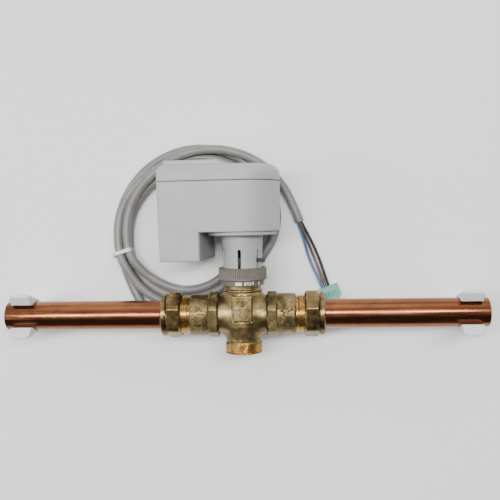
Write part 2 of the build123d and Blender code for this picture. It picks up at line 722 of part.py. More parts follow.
with BuildPart() as neck_screws:
    with BuildSketch(Plane.XY.offset(DISC_BOTTOM)):
        with PolarLocations(SCREW_RING_R, 3, start_angle=SCREW_TURN):
            Circle(SCREW_HEAD_R)
    extrude(amount=SCREW_HEAD)
    with BuildSketch(Plane.XY.offset(DISC_BOTTOM)):
        with PolarLocations(SCREW_RING_R, 3, start_angle=SCREW_TURN):
            Circle(SCREW_R)
    extrude(amount=HOUSING_BOTTOM + HOUSING_WALL - DISC_BOTTOM)
finish(neck_screws, "neck_screws", HEAD_PLACE)


# ---------------------------------------------------------------- gears
PRESSURE = radians(20)
ADDENDUM = 0.7
BACKLASH = 0.10  # taken off each flank, as a share of the module


def gear_face(depth, teeth, module, at, turn):
    """An involute gear's face at a depth behind the stem axis, with a tooth along turn."""
    pitch_r = teeth * module / 2
    base_r = pitch_r * cos(PRESSURE)
    tip_r = pitch_r + ADDENDUM * module
    root_r = pitch_r - (ADDENDUM + ROOT_GAP) * module
    half = pi / (2 * teeth) - BACKLASH * module / pitch_r

    def flank_angle(r):
        """Half the tooth's angle at a radius."""
        a = acos(min(1.0, base_r / r))
        return half + (tan(PRESSURE) - PRESSURE) - (tan(a) - a)

    radii = [max(base_r, root_r) + (tip_r - max(base_r, root_r)) * k / 4 for k in range(5)]
    points = []
    for i in range(teeth):
        middle = radians(turn) + 2 * pi * i / teeth
        start = flank_angle(radii[0])
        points.append((root_r, middle - start))
        points += [(r, middle - flank_angle(r)) for r in radii]
        points += [(r, middle + flank_angle(r)) for r in reversed(radii)]
        points.append((root_r, middle + start))
    outline = [(at[0] + r * cos(a), at[1] + r * sin(a)) for r, a in points]
    if root_r >= base_r:
        outline = [p for i, p in enumerate(outline) if i % 12 not in (0, 11)]
    with BuildSketch(Plane.XZ.offset(-depth)) as face:
        with BuildLine():
            Polyline(*outline, close=True)
        make_face()
    return face.sketch


PINION_R = PINION_TEETH * GEAR_MODULE / 2
FIRST_R = FIRST_TEETH * GEAR_MODULE / 2
SECOND_R = SECOND_TEETH * GEAR_MODULE / 2
OUTPUT_R = PINION_TEETH * OUTPUT_MODULE / 2
OUTPUT_X = -RACK_PITCH_LINE - OUTPUT_R
motor_at = (MOTOR_X, MOTOR_Z)
output_at = (OUTPUT_X, OUTPUT_Z)
span = hypot(OUTPUT_X - MOTOR_X, OUTPUT_Z - MOTOR_Z)
reach_1 = PINION_R + FIRST_R
reach_2 = PINION_R + SECOND_R
lean = atan2(OUTPUT_Z - MOTOR_Z, OUTPUT_X - MOTOR_X)
lift = acos((reach_1**2 + span**2 - reach_2**2) / (2 * reach_1 * span))
first_at = (MOTOR_X + reach_1 * cos(lean + lift), MOTOR_Z + reach_1 * sin(lean + lift))
line_1 = degrees(lean + lift)  # from the motor pinion to the first wheel
line_2 = degrees(atan2(OUTPUT_Z - first_at[1], OUTPUT_X - first_at[0]))

FIRST_WHEEL_Y = 3.6
SECOND_WHEEL_Y = -15.0
PINION_LENGTH = 8.0
OUTPUT_FACE = 6.0
AXIAL_GAP = 0.3
PIN_HOLE_R = PIN_R + RUN_GAP

with BuildPart() as first_gear:
    wheel = gear_face(FIRST_WHEEL_Y, FIRST_TEETH, GEAR_MODULE, first_at, line_1 + 180 + 180 / FIRST_TEETH)
    extrude(wheel, amount=-WHEEL_THICKNESS)
    wheel = gear_face(FIRST_WHEEL_Y, PINION_TEETH, GEAR_MODULE, first_at, line_2)
    extrude(wheel, amount=FIRST_WHEEL_Y - FRONT_PLATE_Y - AXIAL_GAP)
    with BuildSketch(Plane.XZ.offset(-BACK_PLATE_Y)):
        with Locations(first_at):
            Circle(PIN_HOLE_R)
    extrude(amount=BACK_PLATE_Y - FRONT_PLATE_Y, mode=Mode.SUBTRACT)
finish(first_gear, "first_gear", HEAD_PLACE)

with BuildPart() as output_gear:
    mesh_turn = line_2 + 180 + 180 / SECOND_TEETH
    wheel = gear_face(SECOND_WHEEL_Y, SECOND_TEETH, GEAR_MODULE, output_at, mesh_turn)
    extrude(wheel, amount=-WHEEL_THICKNESS)
    wheel = gear_face(-OUTPUT_FACE / 2, PINION_TEETH, OUTPUT_MODULE, output_at, 0)
    extrude(wheel, amount=-OUTPUT_FACE)
    with BuildSketch(Plane.XZ.offset(-FRONT_PLATE_Y - AXIAL_GAP)):
        with Locations(output_at):
            Circle(PIN_R + 1.2)
    extrude(amount=-(BACK_PLATE_Y - FRONT_PLATE_Y - 2 * AXIAL_GAP))
    with BuildSketch(Plane.XZ.offset(-BACK_PLATE_Y)):
        with Locations(output_at):
            Circle(PIN_HOLE_R)
    extrude(amount=BACK_PLATE_Y - FRONT_PLATE_Y, mode=Mode.SUBTRACT)
finish(output_gear, "output_gear", HEAD_PLACE)

# ---------------------------------------------------------------- pusher with rack and indicator lug
RACK_HALF = 8
rack_pitch = pi * OUTPUT_MODULE
GUIDE_BOTTOM = STEM_TOP + REST_GAP
LUG_ANGLE = SLOT_TURN + 360 / SLOT_COUNT
with BuildPart() as pusher:
    with BuildSketch(Plane.XY.offset(GUIDE_BOTTOM)):
        Circle(GUIDE_R)
    extrude(amount=GUIDE_HEIGHT)
    with BuildSketch(Plane.XY.offset(GUIDE_BOTTOM)):
        Circle(PUSHER_R)
    extrude(amount=PUSHER_TOP - GUIDE_BOTTOM)
    with BuildSketch(Plane.XY.offset(GUIDE_BOTTOM + LUG_RISE)):
        with PolarLocations(LUG_REACH / 2, 1, start_angle=LUG_ANGLE):
            Rectangle(LUG_REACH, LUG_WIDTH)
    extrude(amount=LUG_HEIGHT)
    # rack teeth on the left side, a gap level with the output pinion's axis
    with BuildSketch(Plane.XZ.offset(PUSHER_R + 1)):
        with Locations((-RACK_PITCH_LINE - ADDENDUM * OUTPUT_MODULE - 3, OUTPUT_Z)):
            Rectangle(6, (2 * RACK_HALF + 1) * rack_pitch)
    extrude(amount=-2 * (PUSHER_R + 1), mode=Mode.SUBTRACT)
    half_tip = rack_pitch / 4 - (ADDENDUM * tan(PRESSURE) + BACKLASH) * OUTPUT_MODULE
    half_root = rack_pitch / 4 + ((ADDENDUM + ROOT_GAP) * tan(PRESSURE) - BACKLASH) * OUTPUT_MODULE
    root_x = -RACK_PITCH_LINE + (ADDENDUM + ROOT_GAP) * OUTPUT_MODULE
    tip_x = -RACK_PITCH_LINE - ADDENDUM * OUTPUT_MODULE
    with BuildSketch(Plane.XZ.offset(PUSHER_R + 1)):
        for i in range(-RACK_HALF, RACK_HALF + 1):
            gap_z = OUTPUT_Z + i * rack_pitch
            tip_gap = rack_pitch / 2 - half_tip
            root_gap = rack_pitch / 2 - half_root
            with BuildLine():
                Polyline(
                    (tip_x - 0.3, gap_z - tip_gap),
                    (root_x, gap_z - root_gap),
                    (root_x, gap_z + root_gap),
                    (tip_x - 0.3, gap_z + tip_gap),
                    close=True,
                )
            make_face()
    extrude(amount=-2 * (PUSHER_R + 1), mode=Mode.SUBTRACT)
finish(pusher, "pusher", HEAD_PLACE)

# ---------------------------------------------------------------- gear plates, pillars and pins
PLATE_X0 = MOTOR_X - MOTOR_R + 1.5
PLATE_X1 = OUTPUT_X + 3.2
PLATE_Z0 = FLOOR_TOP + 0.4
PLATE_Z1 = SEAM - 0.6
pillar_points = [
    (PLATE_X0 + 2.5, PLATE_Z1 - 2.5),
    (PLATE_X1 - 2.5, PLATE_Z1 - 2.5),
    (PLATE_X0 + 2.5, PLATE_Z0 + 2.5),
    (OUTPUT_X - SECOND_R - 3.5, PLATE_Z0 + 2.5),
]
plate_mid = ((PLATE_X0 + PLATE_X1) / 2, (PLATE_Z0 + PLATE_Z1) / 2)
for name, plate_y, open_r in (("front", FRONT_PLATE_Y, 0.0), ("back", BACK_PLATE_Y, PINION_R + 1.6)):
    with BuildPart() as plate:
        with BuildSketch(Plane.XZ.offset(-plate_y)):
            with Locations(plate_mid):
                RectangleRounded(PLATE_X1 - PLATE_X0, PLATE_Z1 - PLATE_Z0, 1.5)
            with Locations(first_at, output_at):
                Circle(PIN_R, mode=Mode.SUBTRACT)
            if open_r:
                with Locations(motor_at):
                    Circle(open_r, mode=Mode.SUBTRACT)
        extrude(amount=PLATE_THICKNESS if name == "front" else -PLATE_THICKNESS)
    finish(plate, f"{name}_plate", HEAD_PLACE)

with BuildPart() as plate_pillars:
    with BuildSketch(Plane.XZ.offset(-FRONT_PLATE_Y)):
        with Locations(*pillar_points):
            Circle(1.8)
    extrude(amount=-(BACK_PLATE_Y - FRONT_PLATE_Y))
finish(plate_pillars, "plate_pillars", HEAD_PLACE)

with BuildPart() as gear_pins:
    with BuildSketch(Plane.XZ.offset(-FRONT_PLATE_Y + PLATE_THICKNESS)):
        with Locations(first_at, output_at):
            Circle(PIN_R)
    extrude(amount=-(BACK_PLATE_Y - FRONT_PLATE_Y + 2 * PLATE_THICKNESS))
finish(gear_pins, "gear_pins", HEAD_PLACE)

# ---------------------------------------------------------------- synchronous motor
CAN_FRONT = BACK_PLATE_Y + PLATE_THICKNESS
CAN_BACK = CAN_FRONT + MOTOR_DEPTH
ROTOR_R = 8.0
BOBBIN_IN_R = ROTOR_R + 1.2
BOBBIN_OUT_R = MOTOR_R - MOTOR_WALL - 0.3
SHAFT_R = 1.0
with BuildPart() as motor_can:
    with BuildSketch(Plane.XZ.offset(-CAN_FRONT)):
        with Locations(motor_at):
            Circle(MOTOR_R)
    extrude(amount=-MOTOR_DEPTH)
    with BuildSketch(Plane.XZ.offset(-CAN_FRONT - MOTOR_WALL)):
        with Locations(motor_at):
            Circle(MOTOR_R - MOTOR_WALL)
    extrude(amount=-(MOTOR_DEPTH - 2 * MOTOR_WALL), mode=Mode.SUBTRACT)
    with BuildSketch(Plane.XZ.offset(-CAN_FRONT)):
        with Locations(motor_at):
            Circle(SHAFT_R + RUN_GAP)
    extrude(amount=-MOTOR_DEPTH, mode=Mode.SUBTRACT)
finish(motor_can, "motor_can", HEAD_PLACE)

with BuildPart() as motor_coil:
    with BuildSketch(Plane.XZ.offset(-CAN_FRONT - MOTOR_WALL - AXIAL_GAP)):
        with Locations(motor_at):
            Circle(BOBBIN_OUT_R)
            Circle(BOBBIN_IN_R, mode=Mode.SUBTRACT)
    extrude(amount=-(MOTOR_DEPTH - 2 * MOTOR_WALL - 2 * AXIAL_GAP))
finish(motor_coil, "motor_coil", HEAD_PLACE)

with BuildPart() as motor_rotor:
    with BuildSketch(Plane.XZ.offset(-CAN_FRONT - MOTOR_WALL - AXIAL_GAP)):
        with Locations(motor_at):
            Circle(ROTOR_R)
    extrude(amount=-(MOTOR_DEPTH - 2 * MOTOR_WALL - 2 * AXIAL_GAP))
    with BuildSketch(Plane.XZ.offset(-CAN_BACK)):
        with Locations(motor_at):
            Circle(SHAFT_R)
    extrude(amount=CAN_BACK - FIRST_WHEEL_Y + 1)
    wheel = gear_face(FIRST_WHEEL_Y - 1, PINION_TEETH, GEAR_MODULE, motor_at, line_1)
    extrude(wheel, amount=-(WHEEL_THICKNESS + 2))
finish(motor_rotor, "motor_rotor", HEAD_PLACE)

# ---------------------------------------------------------------- board and its parts in the block
BOARD_Z = BLOCK_FLOOR + 3.0
BOARD_T = 1.6
board_x = (block_left + BLOCK_RIGHT) / 2
board_size = (BLOCK_RIGHT - block_left - 2 * HOUSING_WALL - 1, 2 * (HOUSING_R - HOUSING_WALL) - 3)
with BuildPart() as circuit_board:
    with BuildSketch(Plane.XY.offset(BOARD_Z)):
        with Locations((board_x, 0)):
            Rectangle(*board_size)
    extrude(amount=BOARD_T)
    # feet that stand on the block's floor
    with BuildSketch(Plane.XY.offset(BLOCK_FLOOR)):
        with Locations((board_x, 0)):
            with GridLocations(board_size[0] - 5, board_size[1] - 5, 2, 2):
                Circle(1.5)
    extrude(amount=BOARD_Z - BLOCK_FLOOR)
finish(circuit_board, "circuit_board", HEAD_PLACE)

BOARD_TOP = BOARD_Z + BOARD_T
with BuildPart() as capacitor:
    with BuildSketch(Plane.XY.offset(BOARD_TOP)):
        with Locations((board_x - 5, -16)):
            RectangleRounded(13, 17, 1.5)
    extrude(amount=10)
    fillet(capacitor.edges().group_by(Axis.Z)[-1], 1.0)
finish(capacitor, "capacitor", HEAD_PLACE)

TERMINAL_PITCH = 5.0
with BuildPart() as terminal_block:
    with BuildSketch(Plane.XY.offset(BOARD_TOP)):
        with Locations((board_x + 6, 14)):
            Rectangle(9, 4 * TERMINAL_PITCH)
    extrude(amount=9)
    with BuildSketch(Plane.XY.offset(BOARD_TOP + 9)):
        with Locations((board_x + 6, 14)):
            with GridLocations(0, TERMINAL_PITCH, 1, 4):
                Circle(1.8)
    extrude(amount=-5, mode=Mode.SUBTRACT)
finish(terminal_block, "terminal_block", HEAD_PLACE)

SWITCH_SIZE = (8.0, 6.0, 14.0)
with BuildPart() as limit_switch:
    with BuildSketch(Plane.XY.offset(FLOOR_TOP)):
        with Locations((PUSHER_R + 1.5 + SWITCH_SIZE[0] / 2, 0)):
            Rectangle(SWITCH_SIZE[0], SWITCH_SIZE[1])
    extrude(amount=SWITCH_SIZE[2])
    fillet(limit_switch.edges().filter_by(Axis.Z), 0.5)
finish(limit_switch, "limit_switch", HEAD_PLACE)

# ---------------------------------------------------------------- cable gland
with BuildPart() as cable_gland:
    with BuildSketch(Plane.XY.offset(HOUSING_BOTTOM)):
        with Locations((GLAND_X, GLAND_Y)):
            Circle(GLAND_BODY_R)
    extrude(amount=-6)
    with BuildSketch(Plane.XY.offset(HOUSING_BOTTOM - 6)):
        with Locations((GLAND_X, GLAND_Y)):
            Circle(GLAND_BODY_R)
    with BuildSketch(Plane.XY.offset(GLAND_END)):
        with Locations((GLAND_X, GLAND_Y)):
            Circle(CORD_R + 0.7)
    loft()
finish(cable_gland, "cable_gland", HEAD_PLACE)


# ---------------------------------------------------------------- cable, laid out on the surface
def corner_radii(points):
    """Arc radius for each corner of a route: as large as its two runs allow."""
    radii = []
    for before, corner, after in zip(points, points[1:], points[2:]):
        run_in = Vector(*corner) - Vector(*before)
        run_out = Vector(*after) - Vector(*corner)
        turn = radians(run_in.get_angle(run_out))
        radii.append(0.45 * min(run_in.length, run_out.length) / tan(turn / 2))
    return radii


def cord_tube(points, radius, label):
    """Sweeps a cord along its route and writes it as its own node."""
    radii = corner_radii(points)
    print(label, "arc radii", [round(r, 1) for r in radii])
    with BuildPart() as tube:
        with BuildLine():
            route = FilletPolyline(*points, radius=radii)
        with BuildSketch(Plane(origin=route @ 0, z_dir=route % 0)):
            Circle(radius)
        sweep(path=route)
    share = tube.part.volume / (pi * radius**2 * route.length)
    print(label, "length", round(route.length, 1), "volume share", round(share, 4))
    finish(tube, label)


gland_mouth = (HEAD_PLACE * Location((GLAND_X, GLAND_Y, GLAND_END))).position
stem_down = (VALVE_PLACE * Location((0, 0, -1))).position - VALVE_PLACE.position
lead_start = (gland_mouth.X, gland_mouth.Y, gland_mouth.Z)
lead_next = gland_mouth + stem_down * 16
lead_in_points = [
    lead_start,
    (lead_next.X, lead_next.Y, lead_next.Z),
    (-16.5, 8, 9.5),
    (-31, -7, 4.2),
    (-51.7, -12.5, 3.6),
    (-72, -7, 3.6),
    (-86, 8.5, 3.6),
    (-93, 28, 3.6),
    (-96, 48, 3.6),
]
cord_tube(lead_in_points, CORD_R, "cord_lead_in")

free_end_points = [
    (-15.8, 129.6, 3.6),
    (6, 120.5, 3.6),
    (24, 107, 3.6),
    (36.5, 90, 3.6),
    (44.5, 71, 3.6),
]
cord_tube(free_end_points, CORD_R, "cord_free_end")

with BuildPart() as cord_coil:
    with BuildSketch(Plane.XZ):
        with Locations(((COIL_IN_R + COIL_OUT_R) / 2, COIL_HEIGHT / 2)):
            RectangleRounded(COIL_OUT_R - COIL_IN_R, COIL_HEIGHT, CORD_R)
    revolve(axis=Axis.Z)
finish(cord_coil, "cord_coil", Location((COIL_X, COIL_Y, 0)))

tie_at = Location((COIL_X, COIL_Y, COIL_HEIGHT / 2), (0, 0, TIE_ANGLE))
with BuildPart() as cable_tie:
    with BuildSketch(Plane.XZ.offset(-TIE_WIDTH / 2)):
        with Locations(((COIL_IN_R + COIL_OUT_R) / 2, 0)):
            RectangleRounded(COIL_OUT_R - COIL_IN_R + 0.6, COIL_HEIGHT, CORD_R + 0.3)
            RectangleRounded(
                COIL_OUT_R - COIL_IN_R + 0.6 - 2 * TIE_THICKNESS,
                COIL_HEIGHT - 2 * TIE_THICKNESS,
                CORD_R - TIE_THICKNESS + 0.3,
                mode=Mode.SUBTRACT,
            )
    extrude(amount=TIE_WIDTH)
finish(cable_tie, "cable_tie", tie_at)

# ---------------------------------------------------------------- cores and their connector
block_dir = (sin(radians(CONNECTOR_BLOCK_TURN)), -cos(radians(CONNECTOR_BLOCK_TURN)))
block_side = (cos(radians(CONNECTOR_BLOCK_TURN)), sin(radians(CONNECTOR_BLOCK_TURN)))
block_place = Location((*CONNECTOR_BLOCK_AT, 0), (0, 0, CONNECTOR_BLOCK_TURN))
with BuildPart() as core_connector:
    with BuildSketch(Plane.XY):
        Rectangle(CONNECTOR_BLOCK[0], CONNECTOR_BLOCK[1])
    extrude(amount=CONNECTOR_BLOCK[2])
    fillet(core_connector.edges().filter_by(Axis.Z), 1.2)
    fillet(core_connector.edges().group_by(Axis.Z)[-1], 0.8)
finish(core_connector, "core_connector", block_place)

sheath_end = free_end_points[-1]
core_heading = Vector(*free_end_points[-1]) - Vector(*free_end_points[-2])
core_side = Vector(-core_heading.Y, core_heading.X, 0).normalized()
CORE_SPREAD = 1.45
cores = {
    # offsets across and up at the sheath's end, entry along the connector's edge, route between
    "blue": (-0.87, -0.5, -4.6, [(47.2, 59.5, 2.6), (50.2, 47.5, 1.4), (55.0, 34.5, 1.8)]),
    "brown": (0.0, 1.0, -1.8, [(49.0, 60.2, 3.9), (54.0, 48.3, 1.5), (58.6, 35.8, 1.8)]),
    "black": (0.87, -0.5, 1.0, [(51.9, 60.8, 2.3), (57.4, 49.0, 1.3), (62.0, 36.6, 1.8)]),
}
for colour, (across, up, along, middle) in cores.items():
    start = Vector(*sheath_end) + core_side * across * CORE_SPREAD + Vector(0, 0, up * CORE_SPREAD)
    entry = (
        CONNECTOR_BLOCK_AT[0] + along * block_side[0] - block_dir[0] * CONNECTOR_BLOCK[1] / 2,
        CONNECTOR_BLOCK_AT[1] + along * block_side[1] - block_dir[1] * CONNECTOR_BLOCK[1] / 2,
        CONNECTOR_BLOCK[2] / 2,
    )
    straight_in = (entry[0] - 9 * block_dir[0], entry[1] - 9 * block_dir[1], entry[2] - 0.6)
    route_points = [(start.X, start.Y, start.Z), *middle, straight_in, entry]
    cord_tube(route_points, CORE_R, f"core_{colour}")
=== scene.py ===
import math

import bpy
import numpy as np
from mathutils import Matrix, Vector


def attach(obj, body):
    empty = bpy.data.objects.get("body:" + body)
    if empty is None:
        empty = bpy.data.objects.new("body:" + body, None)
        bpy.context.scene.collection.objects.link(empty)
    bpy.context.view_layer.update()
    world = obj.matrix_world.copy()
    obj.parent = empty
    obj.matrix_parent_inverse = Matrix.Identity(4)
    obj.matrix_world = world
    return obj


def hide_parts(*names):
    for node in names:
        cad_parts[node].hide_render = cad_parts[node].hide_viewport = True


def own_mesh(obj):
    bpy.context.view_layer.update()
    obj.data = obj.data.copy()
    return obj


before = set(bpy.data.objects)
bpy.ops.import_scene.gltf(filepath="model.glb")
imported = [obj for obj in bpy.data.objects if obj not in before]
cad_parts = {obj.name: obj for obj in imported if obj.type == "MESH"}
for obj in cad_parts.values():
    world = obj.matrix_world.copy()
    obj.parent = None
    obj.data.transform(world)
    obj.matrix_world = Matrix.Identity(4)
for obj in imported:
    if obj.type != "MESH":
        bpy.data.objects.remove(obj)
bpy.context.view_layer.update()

MM = 0.001
AXIS_HEIGHT = 35.0
VALVE = Matrix.Translation((0, 0, AXIS_HEIGHT)) @ Matrix.Rotation(math.radians(-85), 4, "X")
HEAD = VALVE @ Matrix.Rotation(math.radians(-5), 4, "Z")
PIPE_RIGHT = VALVE @ Matrix.Rotation(math.radians(90), 4, "Y")
PIPE_LEFT = VALVE @ Matrix.Rotation(math.radians(180), 4, "Z") @ Matrix.Rotation(math.radians(90), 4, "Y")


# ---------------------------------------------------------------- camera
TARGET = Vector((5.9, 48.8, 39.3)) * MM
VIEW_DISTANCE = 0.5
LEAN_X = math.radians(3.5)
LEAN_Y = math.radians(2.0)
ROLL = math.radians(0.7)
FOCAL_PIXELS = 656.0
SENSOR = 36.0

back = Vector((math.tan(LEAN_X), -math.tan(LEAN_Y), 1.0)).normalized()
level_up = (Vector((0, 1, 0)) - back * back.y).normalized()
level_right = level_up.cross(back)
cam_right = level_right * math.cos(ROLL) - level_up * math.sin(ROLL)
cam_up = level_right * math.sin(ROLL) + level_up * math.cos(ROLL)
camera = bpy.data.objects.new("camera", bpy.data.cameras.new("camera"))
camera.data.lens = FOCAL_PIXELS * SENSOR / 500
camera.data.sensor_width = SENSOR
camera.data.clip_start = 0.01
turn = Matrix((cam_right, cam_up, back)).transposed().to_4x4()
camera.matrix_world = Matrix.Translation(TARGET + back * VIEW_DISTANCE) @ turn
bpy.context.scene.collection.objects.link(camera)
bpy.context.scene.camera = camera


# ---------------------------------------------------------------- materials
def new_material(name):
    """An empty node material with its shader and object coordinates."""
    mat = bpy.data.materials.new(name)
    mat.use_nodes = True
    tree = mat.node_tree
    shader = tree.nodes["Principled BSDF"]
    coord = tree.nodes.new("ShaderNodeTexCoord").outputs["Object"]
    return mat, tree, shader, coord


def stretched(tree, coord, scale):
    node = tree.nodes.new("ShaderNodeMapping")
    node.inputs["Scale"].default_value = scale
    tree.links.new(coord, node.inputs["Vector"])
    return node.outputs["Vector"]


def noise(tree, coord, scale, detail=4.0, rough=0.55, distortion=0.0):
    node = tree.nodes.new("ShaderNodeTexNoise")
    node.inputs["Scale"].default_value = scale
    node.inputs["Detail"].default_value = detail
    node.inputs["Roughness"].default_value = rough
    node.inputs["Distortion"].default_value = distortion
    tree.links.new(coord, node.inputs["Vector"])
    return node.outputs["Fac"]


def ramp(tree, factor, *stops):
    """Colours or values along a factor, as (position, value) pairs."""
    node = tree.nodes.new("ShaderNodeValToRGB")
    elements = node.color_ramp.elements
    while len(elements) < len(stops):
        elements.new(0.5)
    for element, (position, value) in zip(elements, stops):
        element.position = position
        element.color = (*value, 1) if isinstance(value, tuple) else (value, value, value, 1)
    tree.links.new(factor, node.inputs["Fac"])
    return node.outputs["Color"]


def mixed(tree, factor, a, b, blend="MIX"):
    node = tree.nodes.new("ShaderNodeMix")
    node.data_type = "RGBA"
    node.blend_type = blend
    for socket, value in ((node.inputs["Factor"], factor), (node.inputs[6], a), (node.inputs[7], b)):
        if isinstance(value, (int, float)):
            socket.default_value = value
        elif isinstance(value, tuple):
            socket.default_value = (*value, 1)
        else:
            tree.links.new(value, socket)
    return node.outputs[2]


def bumped(tree, shader, *layers):
    """Stacks bump layers of (height, strength, distance in mm) on a shader."""
    normal = None
    for height, strength, distance in layers:
        node = tree.nodes.new("ShaderNodeBump")
        node.inputs["Strength"].default_value = strength
        node.inputs["Distance"].default_value = distance * MM
        tree.links.new(height, node.inputs["Height"])
        if normal is not None:
            tree.links.new(normal, node.inputs["Normal"])
        normal = node.outputs["Normal"]
    tree.links.new(normal, shader.inputs["Normal"])


MOTTLING = 60.0  # noise scale of the faint patches in moulded plastic


def plastic(name, low, high, rough, grain=900.0, grain_depth=0.04, subsurface=0.0):
    """Moulded plastic: faint mottling, fine spark texture, slight wear in the gloss."""
    mat, tree, shader, coord = new_material(name)
    base = ramp(tree, noise(tree, coord, MOTTLING, 5), (0.3, low), (0.7, high))
    tree.links.new(base, shader.inputs["Base Color"])
    gloss = ramp(tree, noise(tree, coord, MOTTLING * 3, 6), (0.3, rough - 0.06), (0.7, rough + 0.06))
    tree.links.new(gloss, shader.inputs["Roughness"])
    bumped(tree, shader, (noise(tree, coord, grain, 3, 0.6), 0.5, grain_depth))
    if subsurface:
        shader.inputs["Subsurface Weight"].default_value = subsurface
        shader.inputs["Subsurface Scale"].default_value = 0.002
    return mat


def metal(name, low, high, rough, streak=(1, 1, 1), scale=120.0, grain=1500.0, grain_depth=0.01,
          tarnish=None):
    """Machined or drawn metal: streaky colour, streaky gloss, tarnish in patches."""
    mat, tree, shader, coord = new_material(name)
    shader.inputs["Metallic"].default_value = 1.0
    lines = stretched(tree, coord, streak)
    base = ramp(tree, noise(tree, lines, scale, 6), (0.3, low), (0.7, high))
    if tarnish:
        patches = ramp(tree, noise(tree, coord, 70.0, 6, 0.65, 0.6), (0.46, 0.0), (0.7, 1.0))
        base = mixed(tree, patches, base, tarnish)
    tree.links.new(base, shader.inputs["Base Color"])
    gloss = ramp(tree, noise(tree, lines, scale * 2.3, 5), (0.3, rough - 0.06), (0.7, rough + 0.1))
    tree.links.new(gloss, shader.inputs["Roughness"])
    bumped(tree, shader, (noise(tree, lines, grain, 2), 0.4, grain_depth))
    return mat


def brass_cast(name, veins):
    """Sand-cast or forged brass: dull, granular, darker in patches; veins are forging marks."""
    mat, tree, shader, coord = new_material(name)
    shader.inputs["Metallic"].default_value = 1.0
    patches = noise(tree, coord, 90.0, 6, 0.6, 0.8)
    base = ramp(tree, patches, (0.3, (0.1, 0.07, 0.028)), (0.5, (0.27, 0.195, 0.088)),
                (0.72, (0.47, 0.35, 0.165)))
    grains = noise(tree, coord, 1100.0, 4, 0.7)
    speckle = ramp(tree, grains, (0.35, 0.75), (0.65, 1.12))
    base = mixed(tree, 0.8, base, speckle, "MULTIPLY")
    layers = [
        (noise(tree, coord, 700.0, 5, 0.7), 0.55, 0.22),
        (noise(tree, coord, 170.0, 4, 0.5), 0.35, 0.5),
    ]
    if veins:
        marks = noise(tree, coord, 150.0, 3, 0.5, 3.5)
        band = ramp(tree, marks, (0.44, 1.0), (0.5, 0.0), (0.56, 1.0))
        base = mixed(tree, 0.45, base, band, "MULTIPLY")
        layers.append((band, 0.6, 0.35))
    tree.links.new(base, shader.inputs["Base Color"])
    gloss = ramp(tree, noise(tree, coord, 260.0, 4), (0.3, 0.3), (0.7, 0.48))
    tree.links.new(gloss, shader.inputs["Roughness"])
    bumped(tree, shader, *layers)
    return mat


MATERIALS = {
    "cast_brass": brass_cast("cast_brass", False),
    "forged_brass": brass_cast("forged_brass", True),
    "turned_brass": metal("turned_brass", (0.54, 0.36, 0.13), (0.62, 0.42, 0.16), 0.24,
                          scale=90.0, grain_depth=0.003),
    "nut_brass": metal("nut_brass", (0.15, 0.1, 0.04), (0.34, 0.24, 0.105), 0.27, scale=150.0, grain=900.0,
                       grain_depth=0.06, tarnish=(0.14, 0.09, 0.04)),
    "copper": metal("copper", (0.17, 0.06, 0.026), (0.34, 0.135, 0.06), 0.2, streak=(0.05, 1, 1),
                    scale=200.0, tarnish=(0.2, 0.07, 0.04)),
    "housing_plastic": plastic("housing_plastic", (0.37, 0.375, 0.375), (0.395, 0.4, 0.4), 0.46,
                               subsurface=0.05),
    "ring_plastic": plastic("ring_plastic", (0.12, 0.1, 0.083), (0.155, 0.132, 0.11), 0.42),
    "dark_plastic": plastic("dark_plastic", (0.012, 0.012, 0.012), (0.025, 0.025, 0.025), 0.4),
    "gear_plastic": plastic("gear_plastic", (0.78, 0.77, 0.7), (0.84, 0.83, 0.77), 0.35),
    "clip_plastic": plastic("clip_plastic", (0.66, 0.68, 0.67), (0.72, 0.74, 0.73), 0.42, subsurface=0.15),
    "zinc_steel": metal("zinc_steel", (0.55, 0.55, 0.53), (0.7, 0.7, 0.69), 0.3),
    "spring_steel": metal("spring_steel", (0.42, 0.42, 0.43), (0.55, 0.55, 0.56), 0.25),
    "rubber": plastic("rubber", (0.015, 0.015, 0.015), (0.03, 0.03, 0.03), 0.65),
    "fibre": plastic("fibre", (0.3, 0.07, 0.04), (0.42, 0.12, 0.07), 0.75, grain=500.0, grain_depth=0.1),
    "board": plastic("board", (0.02, 0.14, 0.06), (0.03, 0.18, 0.08), 0.35),
    "winding": metal("winding", (0.45, 0.16, 0.07), (0.62, 0.26, 0.12), 0.3, streak=(1, 1, 20)),
    "component_blue": plastic("component_blue", (0.03, 0.08, 0.3), (0.04, 0.11, 0.36), 0.25),
    "cable_pvc": plastic("cable_pvc", (0.165, 0.16, 0.15), (0.225, 0.22, 0.21), 0.38, grain=700.0,
                         grain_depth=0.05),
    "tie_nylon": plastic("tie_nylon", (0.62, 0.61, 0.58), (0.7, 0.69, 0.66), 0.35, subsurface=0.2),
    "core_blue": plastic("core_blue", (0.02, 0.07, 0.22), (0.03, 0.1, 0.3), 0.32),
    "core_brown": plastic("core_brown", (0.075, 0.035, 0.03), (0.1, 0.05, 0.04), 0.35),
    "core_black": plastic("core_black", (0.004, 0.004, 0.004), (0.008, 0.008, 0.008), 0.6),
    "connector_green": plastic("connector_green", (0.12, 0.4, 0.3), (0.17, 0.46, 0.36), 0.3,
                               subsurface=0.1),
    # near-black strain relief: painted shade for the shadowed gap between the housing block and the neck
    "relief_painted_shade": plastic("relief_painted_shade", (0.04, 0.04, 0.04), (0.06, 0.06, 0.06), 0.5),
    "mark_white": plastic("mark_white", (0.7, 0.7, 0.68), (0.8, 0.8, 0.78), 0.5),
}


# ---------------------------------------------------------------- pieces
def finish_piece(obj, slot, body="valve", material=None, nodes=()):
    """Gives a piece its material (the slot's, unless a material is named), puts it on its body and hides
    the CAD nodes that it stands for.
    """
    obj.data.materials.clear()
    obj.data.materials.append(MATERIALS[material or slot])
    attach(obj, body)
    if nodes:
        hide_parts(*nodes)
    return obj


